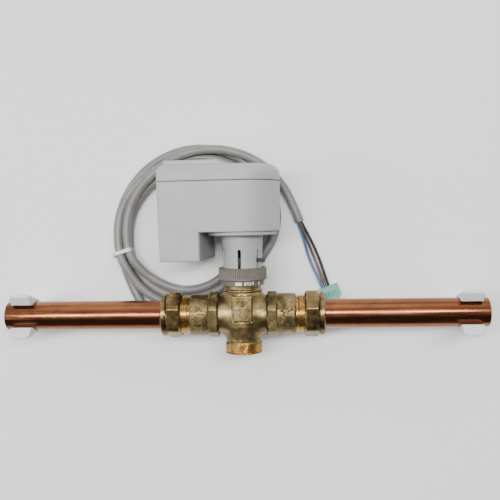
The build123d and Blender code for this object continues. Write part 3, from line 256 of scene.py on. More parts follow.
def quad_object(name, points, quads, place, sharp=32.0):
    """An object from points in mm in a local frame and an array of quads."""
    matrix = np.array(place)
    points = np.asarray(points, float)
    points = (points @ matrix[:3, :3].T + matrix[:3, 3]) * MM
    quads = np.asarray(quads, np.int32)
    mesh = bpy.data.meshes.new(name)
    mesh.vertices.add(len(points))
    mesh.vertices.foreach_set("co", points.astype(np.float32).ravel())
    mesh.loops.add(quads.size)
    mesh.loops.foreach_set("vertex_index", quads.ravel())
    mesh.polygons.add(len(quads))
    mesh.polygons.foreach_set("loop_start", np.arange(0, quads.size, 4, dtype=np.int32))
    mesh.update(calc_edges=True)
    mesh.polygons.foreach_set("use_smooth", np.ones(len(quads), bool))
    if sharp:
        mesh.set_sharp_from_angle(angle=math.radians(sharp))
    mesh.update()
    obj = bpy.data.objects.new(name, mesh)
    bpy.context.scene.collection.objects.link(obj)
    return obj


def eased(outline, radius=0.3, steps=3):
    """The closed outline with its corners rounded; a third number is that corner's own radius."""
    out = []
    count = len(outline)
    for i, item in enumerate(outline):
        corner = Vector(item[:2])
        own = item[2] if len(item) > 2 else radius
        before = Vector(outline[i - 1][:2]) - corner
        after = Vector(outline[(i + 1) % count][:2]) - corner
        opening = before.angle(after)
        if own == 0 or opening > math.radians(176):
            out.append(corner)
            continue
        reach = min(own / math.tan(opening / 2), 0.45 * before.length, 0.45 * after.length)
        start = corner + before.normalized() * reach
        end = corner + after.normalized() * reach
        for k in range(steps + 1):
            t = k / steps
            out.append(start * (1 - t) ** 2 + corner * 2 * t * (1 - t) + end * t**2)
    return out


def turned(name, outline, place, angles, shape=None, sharp=32.0):
    """Turns a closed (z, r) outline about local Z; shape(z, r, angle) may change each radius."""
    z = np.array([p[0] for p in outline])
    r = np.array([p[1] for p in outline])
    area = np.sum(z * np.roll(r, -1) - np.roll(z, -1) * r)
    a = np.asarray(angles, float)
    zz = np.repeat(z[:, None], len(a), 1)
    rr = np.repeat(r[:, None], len(a), 1)
    aa = np.repeat(a[None, :], len(z), 0)
    if shape is not None:
        rr = shape(zz, rr, aa)
    points = np.stack([rr * np.cos(aa), rr * np.sin(aa), zz], -1).reshape(-1, 3)
    rows, columns = len(z), len(a)
    i = np.arange(rows)[:, None]
    j = np.arange(columns)[None, :]
    index = i * columns + j
    down = ((i + 1) % rows) * columns + j
    right = i * columns + (j + 1) % columns
    both = ((i + 1) % rows) * columns + (j + 1) % columns
    order = (index, down, both, right) if area > 0 else (index, right, both, down)
    quads = np.stack([np.broadcast_to(o, (rows, columns)) for o in order], -1).reshape(-1, 4)
    return quad_object(name, points, quads, place, sharp)


def even_angles(count):
    return np.arange(count) * 2 * math.pi / count


def soft_min(a, b, k):
    h = np.maximum(k - np.abs(a - b), 0) / k
    return np.minimum(a, b) - h * h * k / 4


def soft_max(a, b, k):
    return -soft_min(-a, -b, k)


def round_max(a, b, r):
    """The space inside both, with a round edge where they meet."""
    return np.minimum(np.maximum(a, b), -r) + np.hypot(np.maximum(a + r, 0), np.maximum(b + r, 0))


SETTLE_ROUNDS = 3  # how often the points of a surface net are moved onto the true surface


def surface_net(name, low, high, step, field, place, sharp=32.0):
    """The smooth surface where field(x, y, z) is 0, negative inside, over a box in mm."""
    axes = [np.arange(a, b + step, step) for a, b in zip(low, high)]
    values = field(*np.meshgrid(*axes, indexing="ij")).astype(np.float32)
    inside = values < 0
    shape = [n - 1 for n in inside.shape]
    corner_list = [(i, j, k) for i in (0, 1) for j in (0, 1) for k in (0, 1)]
    count = np.zeros(shape, np.int8)
    for i, j, k in corner_list:
        count += inside[i:i + shape[0], j:j + shape[1], k:k + shape[2]]
    cells = np.argwhere((count > 0) & (count < 8))
    total = np.zeros((len(cells), 3))
    hits = np.zeros(len(cells))
    for a in corner_list:
        for axis in range(3):
            if a[axis]:
                continue
            b = list(a)
            b[axis] = 1
            fa = values[tuple((cells + a).T)]
            fb = values[tuple((cells + b).T)]
            crossed = (fa < 0) != (fb < 0)
            along = np.where(crossed, fa / np.where(crossed, fa - fb, 1), 0)
            spot = np.array(a, float)[None] + along[:, None] * (np.array(b) - np.array(a))[None]
            total[crossed] += spot[crossed]
            hits += crossed
    points = np.array(low)[None] + step * (cells + total / hits[:, None])
    number = -np.ones(shape, np.int64)
    number[tuple(cells.T)] = np.arange(len(cells))
    quads = []
    for axis in range(3):
        u, v = [(1, 2), (2, 0), (0, 1)][axis]
        first = np.take(inside, range(inside.shape[axis] - 1), axis)
        second = np.take(inside, range(1, inside.shape[axis]), axis)
        for leaving in (True, False):
            edges = np.argwhere(first & ~second if leaving else second & ~first)
            edges = edges[(edges[:, u] > 0) & (edges[:, v] > 0)]
            edges = edges[(edges[:, u] < shape[u]) & (edges[:, v] < shape[v])]
            step_u = np.eye(3, dtype=int)[u]
            step_v = np.eye(3, dtype=int)[v]
            ring = [edges - step_u - step_v, edges - step_v, edges, edges - step_u]
            if not leaving:
                ring.reverse()
            quads.append(np.stack([number[tuple(c.T)] for c in ring], -1))
    quads = np.concatenate(quads)
    h = step * 0.05
    for _ in range(SETTLE_ROUNDS):
        x, y, z = points.T
        f = field(x, y, z)
        grad = np.stack([
            field(x + h, y, z) - field(x - h, y, z),
            field(x, y + h, z) - field(x, y - h, z),
            field(x, y, z + h) - field(x, y, z - h),
        ], -1) / (2 * h)
        size = np.maximum((grad**2).sum(1), 0.05)
        move = -0.8 * (f / size)[:, None] * grad
        far = np.maximum(np.linalg.norm(move, axis=1) / (0.4 * step), 1)
        points = points + move / far[:, None]
    return quad_object(name, points, quads, place, sharp)


# ---------------------------------------------------------------- cable
CORD_R = 3.6
COIL_CENTRE = (-38.0, 68.5)
GLAND_X, GLAND_Y = -13.5, 20.0
GLAND_MOUTH = HEAD @ Vector((GLAND_X, GLAND_Y, 42.0))
BELOW_GLAND = GLAND_MOUTH + (VALVE.to_3x3() @ Vector((0, 0, -16)))


def nurbs_cord(name, points, radius):
    """A tube along one smooth open spline through the neighbourhood of its points, in mm."""
    curve = bpy.data.curves.new(name, "CURVE")
    curve.dimensions = "3D"
    curve.bevel_depth = radius * MM
    curve.bevel_resolution = 5
    curve.resolution_u = 6
    curve.use_fill_caps = True
    spline = curve.splines.new("NURBS")
    spline.points.add(len(points) - 1)
    for point, place in zip(spline.points, points):
        point.co = (place[0] * MM, place[1] * MM, place[2] * MM, 1)
    spline.order_u = 3
    spline.use_endpoint_u = True
    obj = bpy.data.objects.new(name, curve)
    bpy.context.scene.collection.objects.link(obj)
    return obj


def on_coil(angle, radius, height):
    a = math.radians(angle)
    return (COIL_CENTRE[0] + radius * math.cos(a), COIL_CENTRE[1] + radius * math.sin(a), height)


COIL_ANGLES = (197, 170, 145, 120, 95, 70, 45, 20, -5, -30, -55, -80, -105, -130, -148)
TURNS = (
    # radius and height at each of those angles, one turn after the other
    ((68.1, 4.4), (68.4, 3.6), (67.4, 3.6), (66.9, 3.6), (67.2, 3.6), (67.4, 3.6), (68.0, 3.6), (68.0, 3.6),
     (64.2, 3.6), (56.6, 3.6), (57.6, 3.6), (63.0, 3.6), (68.2, 3.8), (69.2, 5.6), (67.8, 9.2)),
    ((68.3, 11.3), (66.8, 10.8), (63.6, 9.8), (60.4, 6.0), (59.9, 3.7), (60.0, 3.6), (60.6, 3.6),
     (60.6, 3.6), (56.8, 3.6), (49.2, 3.6), (50.2, 3.6), (55.6, 3.6), (60.8, 3.6), (62.2, 3.6),
     (61.4, 3.6)),
    ((60.7, 4.4), (58.4, 3.6), (55.4, 3.6), (53.0, 3.6), (52.6, 3.6), (52.7, 3.6), (53.3, 3.6), (53.3, 3.6),
     (49.4, 3.6), (42.0, 3.6), (43.0, 3.6), (48.4, 3.6), (53.6, 3.6), (56.4, 5.0), (59.0, 8.6)),
    ((60.9, 11.3), (59.9, 10.8), (59.0, 10.8)),
)
sheath_points = [
    tuple(GLAND_MOUTH),
    tuple(BELOW_GLAND),
    (-13.5, 17.0, 13.0),
    (-18.5, 5.5, 11.6),
    (-25.5, -3.0, 10.4),
    (-36.0, -10.5, 5.4),
    (-51.0, -13.5, 3.6),
    (-68.0, -10.0, 3.6),
    (-81.0, 0.0, 3.6),
    (-90.0, 14.0, 3.6),
    (-97.5, 31.0, 3.6),
]
for stations in TURNS:
    for angle, (radius, height) in zip(COIL_ANGLES, stations):
        sheath_points.append(on_coil(angle, radius, height))
sheath_points += [
    (-62.5, 123.5, 10.9),
    (-44.0, 131.0, 10.9),
    (-18.0, 133.0, 10.9),
    (9.0, 124.0, 9.6),
    (28.0, 107.5, 4.6),
    (38.5, 89.0, 3.6),
    (44.5, 72.5, 3.6),
]
sheath = nurbs_cord("sheath", sheath_points, CORD_R)
finish_piece(sheath, "cable_pvc", nodes=("cord_lead_in", "cord_coil", "cord_free_end"))

CORE_R = 1.1
SHEATH_END = Vector(sheath_points[-1])
CORE_SPREAD = 1.45
run_out = SHEATH_END - Vector(sheath_points[-2])
core_side = Vector((run_out.y, -run_out.x, 0)).normalized() * -1
BLOCK_AT = Vector((68.3, 14.4, 0))
BLOCK_TURN = math.radians(20)
BLOCK_DOWN = Vector((math.sin(BLOCK_TURN), -math.cos(BLOCK_TURN), 0))
BLOCK_ALONG = Vector((math.cos(BLOCK_TURN), math.sin(BLOCK_TURN), 0))
BLOCK_SIZE = (16.0, 12.0, 7.0)
ENTRIES = (-4.6, -1.8, 1.0, 3.8)
STRAIGHT_RUN = 9  # how far each core runs straight before the connector
ENTRY_DIP = 0.6
# across and up from the sheath's axis, entry, and the points between
CORES = {
    "blue": (-0.87, -0.5, ENTRIES[0], ((47.2, 59.5, 2.6), (50.2, 47.5, 1.4), (55.0, 34.5, 1.8))),
    "brown": (0.0, 1.0, ENTRIES[1], ((49.0, 60.2, 3.9), (54.0, 48.3, 1.5), (58.6, 35.8, 1.8))),
    "black": (0.87, -0.5, ENTRIES[2], ((51.9, 60.8, 2.3), (57.4, 49.0, 1.3), (62.0, 36.6, 1.8))),
}
for colour, (across, up, along, middle) in CORES.items():
    start = SHEATH_END + core_side * across * CORE_SPREAD + Vector((0, 0, up * CORE_SPREAD))
    edge = BLOCK_AT - BLOCK_DOWN * BLOCK_SIZE[1] / 2
    entry = edge + BLOCK_ALONG * along + Vector((0, 0, BLOCK_SIZE[2] / 2))
    before = entry - BLOCK_DOWN * STRAIGHT_RUN - Vector((0, 0, ENTRY_DIP))
    core = nurbs_cord(f"core_{colour}_wire", [tuple(start), *middle, tuple(before), tuple(entry)], CORE_R)
    finish_piece(core, f"core_{colour}", nodes=(f"core_{colour}",))


# ---------------------------------------------------------------- cable tie, strain relief, connector
TIE_PLACE = (
    Matrix.Translation((*COIL_CENTRE, 0))
    @ Matrix.Rotation(math.radians(197), 4, "Z")
    @ Matrix.Translation((64.4, 0, 7.7))
)


def tie_field(x, y, z):
    box = round_max(np.abs(x) - 8.0, np.abs(z) - 7.5, 3.8)
    band = np.maximum(box, -box - 1.0)
    band = round_max(band, np.abs(y) - 1.5, 0.2)
    head = round_max(round_max(np.abs(x - 8.2) - 1.6, np.abs(z + 3.2) - 2.4, 0.4), np.abs(y) - 2.2, 0.4)
    tail = round_max(round_max(np.abs(x - 9.0) - 0.5, np.abs(z - 0.8) - 2.4, 0.2), np.abs(y) - 1.1, 0.2)
    return np.minimum(np.minimum(band, np.maximum(head, -box)), tail)


tie = surface_net("cable_tie_band", (-8.6, -2.8, -7.9), (10.4, 2.8, 7.9), 0.25, tie_field, TIE_PLACE)
finish_piece(tie, "tie_nylon", nodes=("cable_tie",))

relief_outline = [(63.5, 4.2), (63.5, 5.35), (60.6, 5.35), (60.5, 6.7), (58.2, 6.7)]
RIB_COUNT = 6
for k in range(RIB_COUNT):
    top = 57.6 - 2.5 * k
    size = 6.6 - 0.2 * k
    relief_outline += [(top, size), (top - 1.5, size - 0.06)]
    relief_outline += [(top - 1.6, size - 0.65), (top - 2.4, size - 0.7)]
relief_outline += [(42.3, 5.0), (42.05, 4.7), (42.05, 3.62), (63.5, 3.62)]
relief = turned("strain_relief", eased(relief_outline, 0.25, 2),
                HEAD @ Matrix.Translation((GLAND_X, GLAND_Y, 0)), even_angles(48))
# the strain relief is coloured near black as painted shade of the gap between the housing block and the
# neck
finish_piece(relief, "housing_plastic", material="relief_painted_shade", nodes=("cable_gland",))

BLOCK_PLACE = Matrix.Translation(BLOCK_AT) @ Matrix.Rotation(BLOCK_TURN, 4, "Z")


def block_field(x, y, z):
    """Connector: a low block with a cut corner, four entries with a slot over each, and a latch."""
    outer = round_max(np.abs(x) - 8.0, np.abs(y) - 6.0, 0.8)
    cut = (x - y) * 0.7071 - 7.9
    outer = round_max(outer, cut, 0.5)
    body = round_max(outer, np.maximum(-z, z - 6.4), 0.5)
    rim = np.maximum(outer, -outer - 0.9)
    rim = round_max(rim, np.maximum(-z, z - 7.0), 0.2)
    body = np.minimum(body, rim)
    for at in ENTRIES:
        hole = np.hypot(x - at, z - 3.5) - 1.15
        body = np.maximum(body, -np.maximum(hole, 2.5 - y))
        slot = round_max(np.abs(x - at) - 0.7, np.abs(y + 1.0) - 2.0, 0.3)
        body = np.maximum(body, -np.maximum(slot, 5.2 - z))
    latch = round_max(np.abs(x - 6.9) - 0.9, np.abs(y - 5.4) - 0.5, 0.2)
    latch = round_max(latch, np.abs(z - 4.5) - 2.5, 0.2)
    return np.minimum(body, latch)


block = surface_net("wire_connector", (-8.4, -6.4, -0.4), (8.4, 6.4, 7.4), 0.22, block_field, BLOCK_PLACE)
finish_piece(block, "connector_green", nodes=("core_connector",))

# ---------------------------------------------------------------- pipes
PIPE_R = 11.0
PIPE_BORE_R = 10.1
PIPE_START, PIPE_END = 30.0, 183.4
pipe_outline = [(PIPE_START, PIPE_BORE_R), (PIPE_START, PIPE_R), (62.0, PIPE_R, 0), (100.0, PIPE_R, 0),
                (140.0, PIPE_R, 0), (PIPE_END, PIPE_R, 0.5), (PIPE_END, PIPE_BORE_R)]
for name, place in (("left", PIPE_LEFT), ("right", PIPE_RIGHT)):
    pipe = turned(f"{name}_tube", eased(pipe_outline, 0.25, 3), place, even_angles(96))
    finish_piece(pipe, "copper", nodes=(f"{name}_pipe",))


# ---------------------------------------------------------------- connectors and nuts
FLATS = 32.0
LAND_R = 17.6
THREAD_PITCH = 1.5


def hex_angles(turn):
    """Angles that fall on the flats' edges, with more of them near the turned-down corners."""
    half = math.degrees(math.acos(FLATS / 2 / LAND_R))
    near = 0.8
    local = [-30, -28, -half - near, -half, near - half, -21, -15, -8, 0, 8, 15, 21]
    local += [half - near, half, half + near, 28]
    return np.radians([turn + 60 * k + a for k in range(6) for a in local])


def hexed(turn, low, high):
    """Cuts the six flats between two distances, into the points that stand outside them."""
    def shape(z, r, a):
        local = (a - math.radians(turn) + math.pi / 6) % (math.pi / 3) - math.pi / 6
        flat = FLATS / 2 / np.cos(local)
        inside = (z > low - 0.01) & (z < high + 0.01) & (r > FLATS / 2 - 2)
        return np.where(inside, soft_min(r, flat, 0.25), r)

    return shape


def threaded(low, high, crest, depth, pitch):
    """Cuts a helical thread between two heights into the points at the crest radius."""
    def shape(z, r, a):
        phase = (z / pitch - a / (2 * math.pi)) % 1
        tooth = np.clip(1.7 * (1 - np.abs(2 * phase - 1)) - 0.25, 0, 1)
        fade = np.clip((z - low) / pitch, 0, 1) * np.clip((high - z) / pitch, 0, 1)
        cut = (z > low) & (z < high) & (np.abs(r - crest) < 0.02)
        return np.where(cut, r - depth * (1 - tooth * fade), r)

    return shape


def run(low, high, radius, step):
    """Closely spaced outline points at one radius, for a thread or a knurl to cut into."""
    count = max(2, int(round((high - low) / step)))
    return [(low + (high - low) * k / count, radius, 0) for k in range(count + 1)]


HEX_START, HEX_END, BARREL_END, THREAD_END = 18.2, 26.2, 40.2, 51.2
NUT_START, NUT_HEX_END, NUT_END = 46.7, 57.7, 61.9
THREAD_CREST = 14.6
NUT_TURN = -25.0
CONNECTOR_TURN = -23.0
for name, place, side in (("left", PIPE_LEFT, -1), ("right", PIPE_RIGHT, 1)):
    # the left pipe frame faces the other way, so a turn about the pipe changes its sign
    connector_turn = side * CONNECTOR_TURN
    outline = eased([
        (HEX_START, 12.1), (HEX_START, 15.4), (HEX_START + 1.1, LAND_R), (HEX_END - 1.1, LAND_R),
        (HEX_END, 15.6), (HEX_END + 0.2, 15.75), (BARREL_END - 1.0, 15.75, 0.4), (BARREL_END, 14.9, 0.4),
        (BARREL_END, 13.2), (BARREL_END, 11.1), (30.0, 11.1), (30.0, 8.6), (28.9, 8.6), (28.9, 12.1),
    ], 0.3, 3)
    connector = turned(f"{name}_union", outline, place, hex_angles(connector_turn),
                       hexed(connector_turn, HEX_START, HEX_END))
    finish_piece(connector, "cast_brass", material="forged_brass", nodes=(f"{name}_connector",))
    outline = eased([
        (BARREL_END + 0.03, 11.15), (BARREL_END + 0.03, 13.6), (BARREL_END + 0.7, 13.6, 0.2),
        (BARREL_END + 0.8, THREAD_CREST, 0), *run(BARREL_END + 0.85, THREAD_END - 0.8, THREAD_CREST, 0.125),
        (THREAD_END - 0.7, THREAD_CREST, 0), (THREAD_END, 13.9), (THREAD_END, 12.6), (49.0, 11.15),
    ], 0.3, 3)
    thread = turned(f"{name}_union_thread", outline, place, even_angles(108),
                    threaded(BARREL_END + 0.75, THREAD_END - 0.75, THREAD_CREST, 0.9, THREAD_PITCH))
    finish_piece(thread, "turned_brass")
    nut_turn = side * NUT_TURN
    outline = eased([
        (NUT_START, 14.7), (NUT_START, 15.6), (NUT_START + 1.3, LAND_R), (NUT_HEX_END - 1.2, LAND_R),
        (NUT_HEX_END - 0.2, 15.9), (NUT_HEX_END + 0.1, 15.1), (NUT_HEX_END + 0.7, 15.1),
        (NUT_HEX_END + 0.9, 16.2), (NUT_END - 0.8, 16.3), (NUT_END, 15.5), (NUT_END, 11.3),
        (NUT_END - 4.0, 11.2), (THREAD_END + 1.8, 12.6), (THREAD_END + 0.2, 14.7),
    ], 0.35, 4)
    nut = turned(f"{name}_compression_nut", outline, place, hex_angles(nut_turn),
                 hexed(nut_turn, NUT_START, NUT_HEX_END - 0.15))
    finish_piece(nut, "cast_brass", material="nut_brass", nodes=(f"{name}_nut",))


# ---------------------------------------------------------------- valve body
PLATE_Z = 6.0
PLATE_FRONT = -16.9


def flow_mark(x, z):
    """Generic three-way flow mark: a bar with an arrow at each end and one down."""
    bar = np.maximum(np.abs(x) - 4.0, np.abs(z - 12.4) - 0.5)
    post = np.maximum(np.abs(x) - 0.5, np.abs(z - 10.8) - 1.8)
    side = np.maximum(3.2 - np.abs(x), (np.abs(x) - 5.9) * 0.62 + np.abs(z - 12.4) * 0.78)
    foot = np.maximum(z - 9.9, (7.5 - z) * 0.62 + np.abs(x) * 0.78)
    return np.minimum(np.minimum(bar, post), np.minimum(side, foot))


def body_field(x, y, z):
    rho = np.hypot(x, y)
    arm_rho = np.hypot(y, z)
    heights = [-20.3, -17.5, -13.5, -8.0, 12.0, 15.6, 17.6, 18.4, 19.2, 20.0, 31.0]
    sizes = [13.3, 13.5, 14.3, 15.2, 15.2, 14.9, 13.9, 14.8, 14.7, 13.9, 13.8]
    barrel = rho - np.interp(z, heights, sizes)
    barrel = round_max(barrel, np.maximum(z - 31.0, -20.2 - z), 0.3)
    arm = arm_rho - np.interp(np.abs(x), [0, 11, 15, 18.2], [13.3, 13.4, 14.1, 14.4])
    arm = round_max(arm, np.abs(x) - 18.15, 0.4)
    d = soft_min(barrel, arm, 5.0)
    stub = np.maximum(arm_rho - 11.95, np.abs(x) - 27.8)
    d = np.minimum(d, stub)
    slope = 0.09 * (y - PLATE_FRONT)
    plate = round_max(np.abs(x) - 7.5 - slope, np.abs(z - PLATE_Z) - 9.4 - slope, 1.0)
    plate = round_max(plate, np.maximum(PLATE_FRONT + 0.35 - y, y + 4), 0.45)
    moat = round_max(np.abs(x) - 8.3, np.abs(z - PLATE_Z) - 10.2, 1.6)
    d = soft_max(d, -np.maximum(moat, y + 14.3), 0.4)
    d = soft_min(d, plate, 0.3)
    face = round_max(np.abs(x) - 6.5, np.abs(z - PLATE_Z) - 8.4, 0.6)
    d = soft_max(d, -np.maximum(face, y - (PLATE_FRONT + 1.25)), 0.2)
    divider = round_max(np.abs(x) - 7.2, np.abs(z - PLATE_Z) - 0.45, 0.1)
    d = soft_min(d, np.maximum(divider, np.maximum(PLATE_FRONT + 0.35 - y, y + 12)), 0.25)
    mark = np.maximum(flow_mark(x, z), np.maximum(PLATE_FRONT + 0.3 - y, y + 14))
    d = soft_min(d, mark, 0.2)
    hollow = np.maximum(rho - 9.5, 7.5 - z)
    hollow = np.minimum(hollow, np.maximum(rho - 7.0, np.abs(z - 6.5) - 1.2))
    hollow = np.minimum(hollow, np.maximum(rho - 11.0, np.maximum(z - 5.5, -12 - z)))
    hollow = np.minimum(hollow, np.maximum(rho - 8.5, z + 11))
    hollow = np.minimum(hollow, np.maximum(arm_rho - 8.5, x + 2))
    hollow = np.minimum(hollow, np.maximum(arm_rho - 8.5, 13.2 - x))
    rise = np.maximum(np.abs(y) - 4.5, np.abs(z - 6.05) - 6.05)
    hollow = np.minimum(hollow, np.maximum(rise, np.abs(x - 14.6) - 1.4))
    across = np.maximum(np.abs(y) - 4.5, np.abs(z - 9.8) - 2.3)
    hollow = np.minimum(hollow, np.maximum(across, np.abs(x - 9.5) - 6.0))
    return np.maximum(d, -hollow)


body = surface_net("brass_body", (-28.3, -17.3, -20.7), (28.3, 16.1, 31.4), 0.4, body_field, VALVE,
                   sharp=38.0)
finish_piece(body, "cast_brass", nodes=("valve_body",))

PORT_CREST = 14.0
port_outline = eased([
    (-29.5, 8.5), (-29.5, 13.3), (-28.8, PORT_CREST - 0.02, 0), *run(-28.75, -20.2, PORT_CREST, 0.125),
    (-20.15, 13.1, 0), (-20.0, 13.1), (-19.5, 12.6), (-19.5, 8.5),
], 0.3, 3)
port = turned("lower_port_thread", port_outline, VALVE, even_angles(120),
              threaded(-28.8, -20.2, PORT_CREST, 0.85, THREAD_PITCH))
finish_piece(port, "turned_brass")

# ---------------------------------------------------------------- union ring with its marks
KNURLS = 72
KNURL_STEPS = 8
KNURL_LOW, KNURL_HIGH = 27.6, 35.4
KNURL_FADE = 0.7
KNURL_CREST = 18.34
KNURL_DEPTH = 0.45
RING_LOW_R = 16.3
MARK_RISE = 0.18


def knurled(z, r, a):
    phase = (a * KNURLS / (2 * math.pi)) % 1
    groove = np.clip(1 - np.abs(phase - 0.5) / 0.28, 0, 1)
    reach = np.clip((z - KNURL_LOW) / KNURL_FADE, 0, 1) * np.clip((KNURL_HIGH - z) / KNURL_FADE, 0, 1)
    return np.where(r > 18.2, r - KNURL_DEPTH * groove * reach, r)


ring_outline = eased([
    (22.62, 14.05), (22.62, 16.0), (22.9, 16.35), (26.4, 16.4), (26.5, 17.4), (26.9, 18.3, 0.3),
    *run(KNURL_LOW, 28.3, KNURL_CREST, 0.175), *run(28.6, 34.4, KNURL_CREST, 1.2),
    *run(34.7, KNURL_HIGH, KNURL_CREST, 0.175),
    (36.05, 17.8, 0.4), (36.05, 15.1), (33.1, 15.1), (33.1, 16.1), (30.95, 16.1), (30.95, 14.05),
], 0.3, 3)
ring = turned("knurled_ring", ring_outline, VALVE, even_angles(KNURLS * KNURL_STEPS), knurled, sharp=40.0)
finish_piece(ring, "ring_plastic", "ring", nodes=("union_ring",))


def patch(start, end, low, high, radius, rise):
    """A thin raised block on a cylinder about the stem, between two angles and two heights."""
    angles = np.radians(np.linspace(start, end, 6))
    rows = [(low, radius), (low, radius + rise), (high, radius + rise), (high, radius)]
    points = [(r * math.cos(a), r * math.sin(a), z) for a in angles for z, r in rows]
    quads = [
        (i * 4 + j, (i + 1) * 4 + j, (i + 1) * 4 + (j + 1) % 4, i * 4 + (j + 1) % 4)
        for i in range(len(angles) - 1) for j in range(4)
    ]
    last = (len(angles) - 1) * 4
    quads += [(0, 1, 2, 3), (last + 3, last + 2, last + 1, last)]
    return points, quads


mark_points, mark_quads = [], []
for start, end, low, high in (
    (-106.0, -89.0, 23.4, 25.8), (-82.0, -78.0, 23.3, 25.9), (-75.0, -71.0, 23.9, 25.9),
    (-68.0, -65.0, 23.3, 25.9), (-61.0, -57.0, 23.9, 25.9), (-40.0, -37.0, 23.3, 25.9),
):
    points, quads = patch(start, end, low, high, RING_LOW_R, MARK_RISE)
    offset = len(mark_points)
    mark_points += points
    mark_quads += [tuple(offset + i for i in q) for q in quads]
marks = quad_object("ring_marks", mark_points, mark_quads, VALVE)
finish_piece(marks, "ring_plastic", "ring", material="mark_white")


# ---------------------------------------------------------------- neck collar with its disc
SCREW_CIRCLE_R = 20.5
SCREW_HOLE_R = 1.4


def screw_distances(x, y):
    """The distance from the axis of each of the three neck screws in turn."""
    for k in range(3):
        a = math.radians(-30 + 120 * k)
        yield np.hypot(x - SCREW_CIRCLE_R * math.cos(a), y - SCREW_CIRCLE_R * math.sin(a))


def collar_field(x, y, z):
    rho = np.hypot(x, y)
    wall = rho - np.interp(z, [33.0, 41.0, 56.9, 60.9], [14.7, 14.7, 15.8, 15.8])
    wall = np.maximum(wall, np.abs(z - 47.0) - 15.0)
    foot = round_max(rho - 16.0, np.abs(z - 32.03) - 0.97, 0.2)
    disc = round_max(rho - 26.6, np.abs(z - 62.25) - 1.35, 0.45)
    d = np.minimum(foot, soft_min(wall, disc, 1.2))
    for k in range(6):
        a = math.radians(-90 + 60 * k)
        out = x * math.cos(a) + y * math.sin(a)
        across = -x * math.sin(a) + y * math.cos(a)
        slot = np.hypot(across, np.maximum(z - 48.6, 0)) - 1.25
        d = soft_max(d, -np.maximum(slot, 5 - out), 0.35)
    notch = np.maximum(np.hypot(x - GLAND_X, y - GLAND_Y) - 5.6, 60.5 - z)
    d = np.maximum(d, -notch)
    for hole in screw_distances(x, y):
        d = np.maximum(d, -np.minimum(hole - SCREW_HOLE_R, np.maximum(hole - 2.65, z - 62.3)))
    return np.maximum(d, -(rho - 11.1))


collar = surface_net("neck_and_disc", (-27.0, -27.0, 30.8), (27.0, 27.0, 64.0), 0.36, collar_field, HEAD)
finish_piece(collar, "housing_plastic", nodes=("neck_collar",))

# ---------------------------------------------------------------- actuator base and lid
HOUSING_R = 29.2
SEAM = 101.1
LID_TOP = 113.4
DISC_TOP = 63.6
HOUSING_WALL = 2.2
DRAFT_HEIGHT = 58.9


def plan_sides(x, y, z, inset):
    """Distance past the housing's sides and past its left face, both with a little draft."""
    down = np.clip((SEAM - z) / DRAFT_HEIGHT, 0, 1)
    side = np.where(x > 0, np.hypot(x, y), np.abs(y)) - (HOUSING_R - 0.25 * down - inset)
    left = -58.5 + 1.2 * down + inset - x
    return side, left


def base_field(x, y, z):
    side, left = plan_sides(x, y, z, 0)
    plan = round_max(side, left, 2.0)
    head = round_max(plan, DISC_TOP - z, 0.7)
    block = round_max(np.abs(y) - 28.95, left, 2.0)
    block = round_max(block, x + 26.9, 1.6)
    block = round_max(block, 42.25 - z, 1.0)
    d = np.minimum(head, np.maximum(block, z - 75))
    side_in, left_in = plan_sides(x, y, z, HOUSING_WALL)
    room = np.maximum(np.maximum(side_in, left_in), 65.8 - z)
    low_room = np.maximum(np.maximum(np.abs(y) - 26.8, left_in), np.maximum(x + 29.1, 44.4 - z))
    d = np.maximum(d, -np.minimum(room, low_room))
    d = soft_max(d, z - (SEAM - 0.1), 0.3)
    step = np.maximum(SEAM - 0.5 - z, -(plan + 0.6))
    d = np.maximum(d, -step)
    rho = np.hypot(x, y)
    d = np.maximum(d, -np.maximum(np.minimum(rho - 6.0, np.hypot(x - GLAND_X, y - GLAND_Y) - 3.65), z - 70))
    for hole in screw_distances(x, y):
        d = np.maximum(d, -np.maximum(hole - SCREW_HOLE_R, z - 70))
    return d


def lid_field(x, y, z):
    side, left = plan_sides(x, y, z, 0)
    d = round_max(round_max(side, z - LID_TOP, 8.0), left, 2.2)
    corner = round_max(left, z - LID_TOP, 5.0)
    d = np.maximum(d, corner)
    plate = round_max(round_max(np.abs(y) - 21.0, -55.0 - x, 1.2), z - LID_TOP - 3.3, 0.7)
    ramp_end = (x + 14.5) * 0.5 + (z - LID_TOP - 3.3) * 0.87
    plate = round_max(plate, ramp_end, 0.6)
    plate = np.maximum(plate, 108 - z)
    d = soft_min(d, plate, 0.9)
    side_in, left_in = plan_sides(x, y, z, HOUSING_WALL)
    room = round_max(np.maximum(side_in, left_in), z - LID_TOP + HOUSING_WALL, 5.0)
    d = np.maximum(d, -room)
    d = soft_max(d, SEAM + 0.2 - z, 0.5)
    lip = np.maximum(np.maximum(side_in, left_in) + 0.06, -(np.maximum(side_in, left_in) + 1.3))
    lip = np.maximum(lip, np.abs(z - SEAM) - 3.0)
    return np.minimum(d, lip)


base = surface_net("housing_base", (-59.2, -29.8, 41.7), (29.8, 29.8, 101.6), 0.55, base_field, HEAD)
finish_piece(base, "housing_plastic", nodes=("actuator_base",))
lid = surface_net("housing_lid", (-59.2, -29.8, 97.7), (29.8, 29.8, 117.4), 0.45, lid_field, HEAD)
finish_piece(lid, "housing_plastic", nodes=("actuator_lid",))


# ---------------------------------------------------------------- pipe clips
CLIP_X = 170.0
SADDLE_R = 11.05
EAR_Y, EAR_UP = 8.8, 9.7


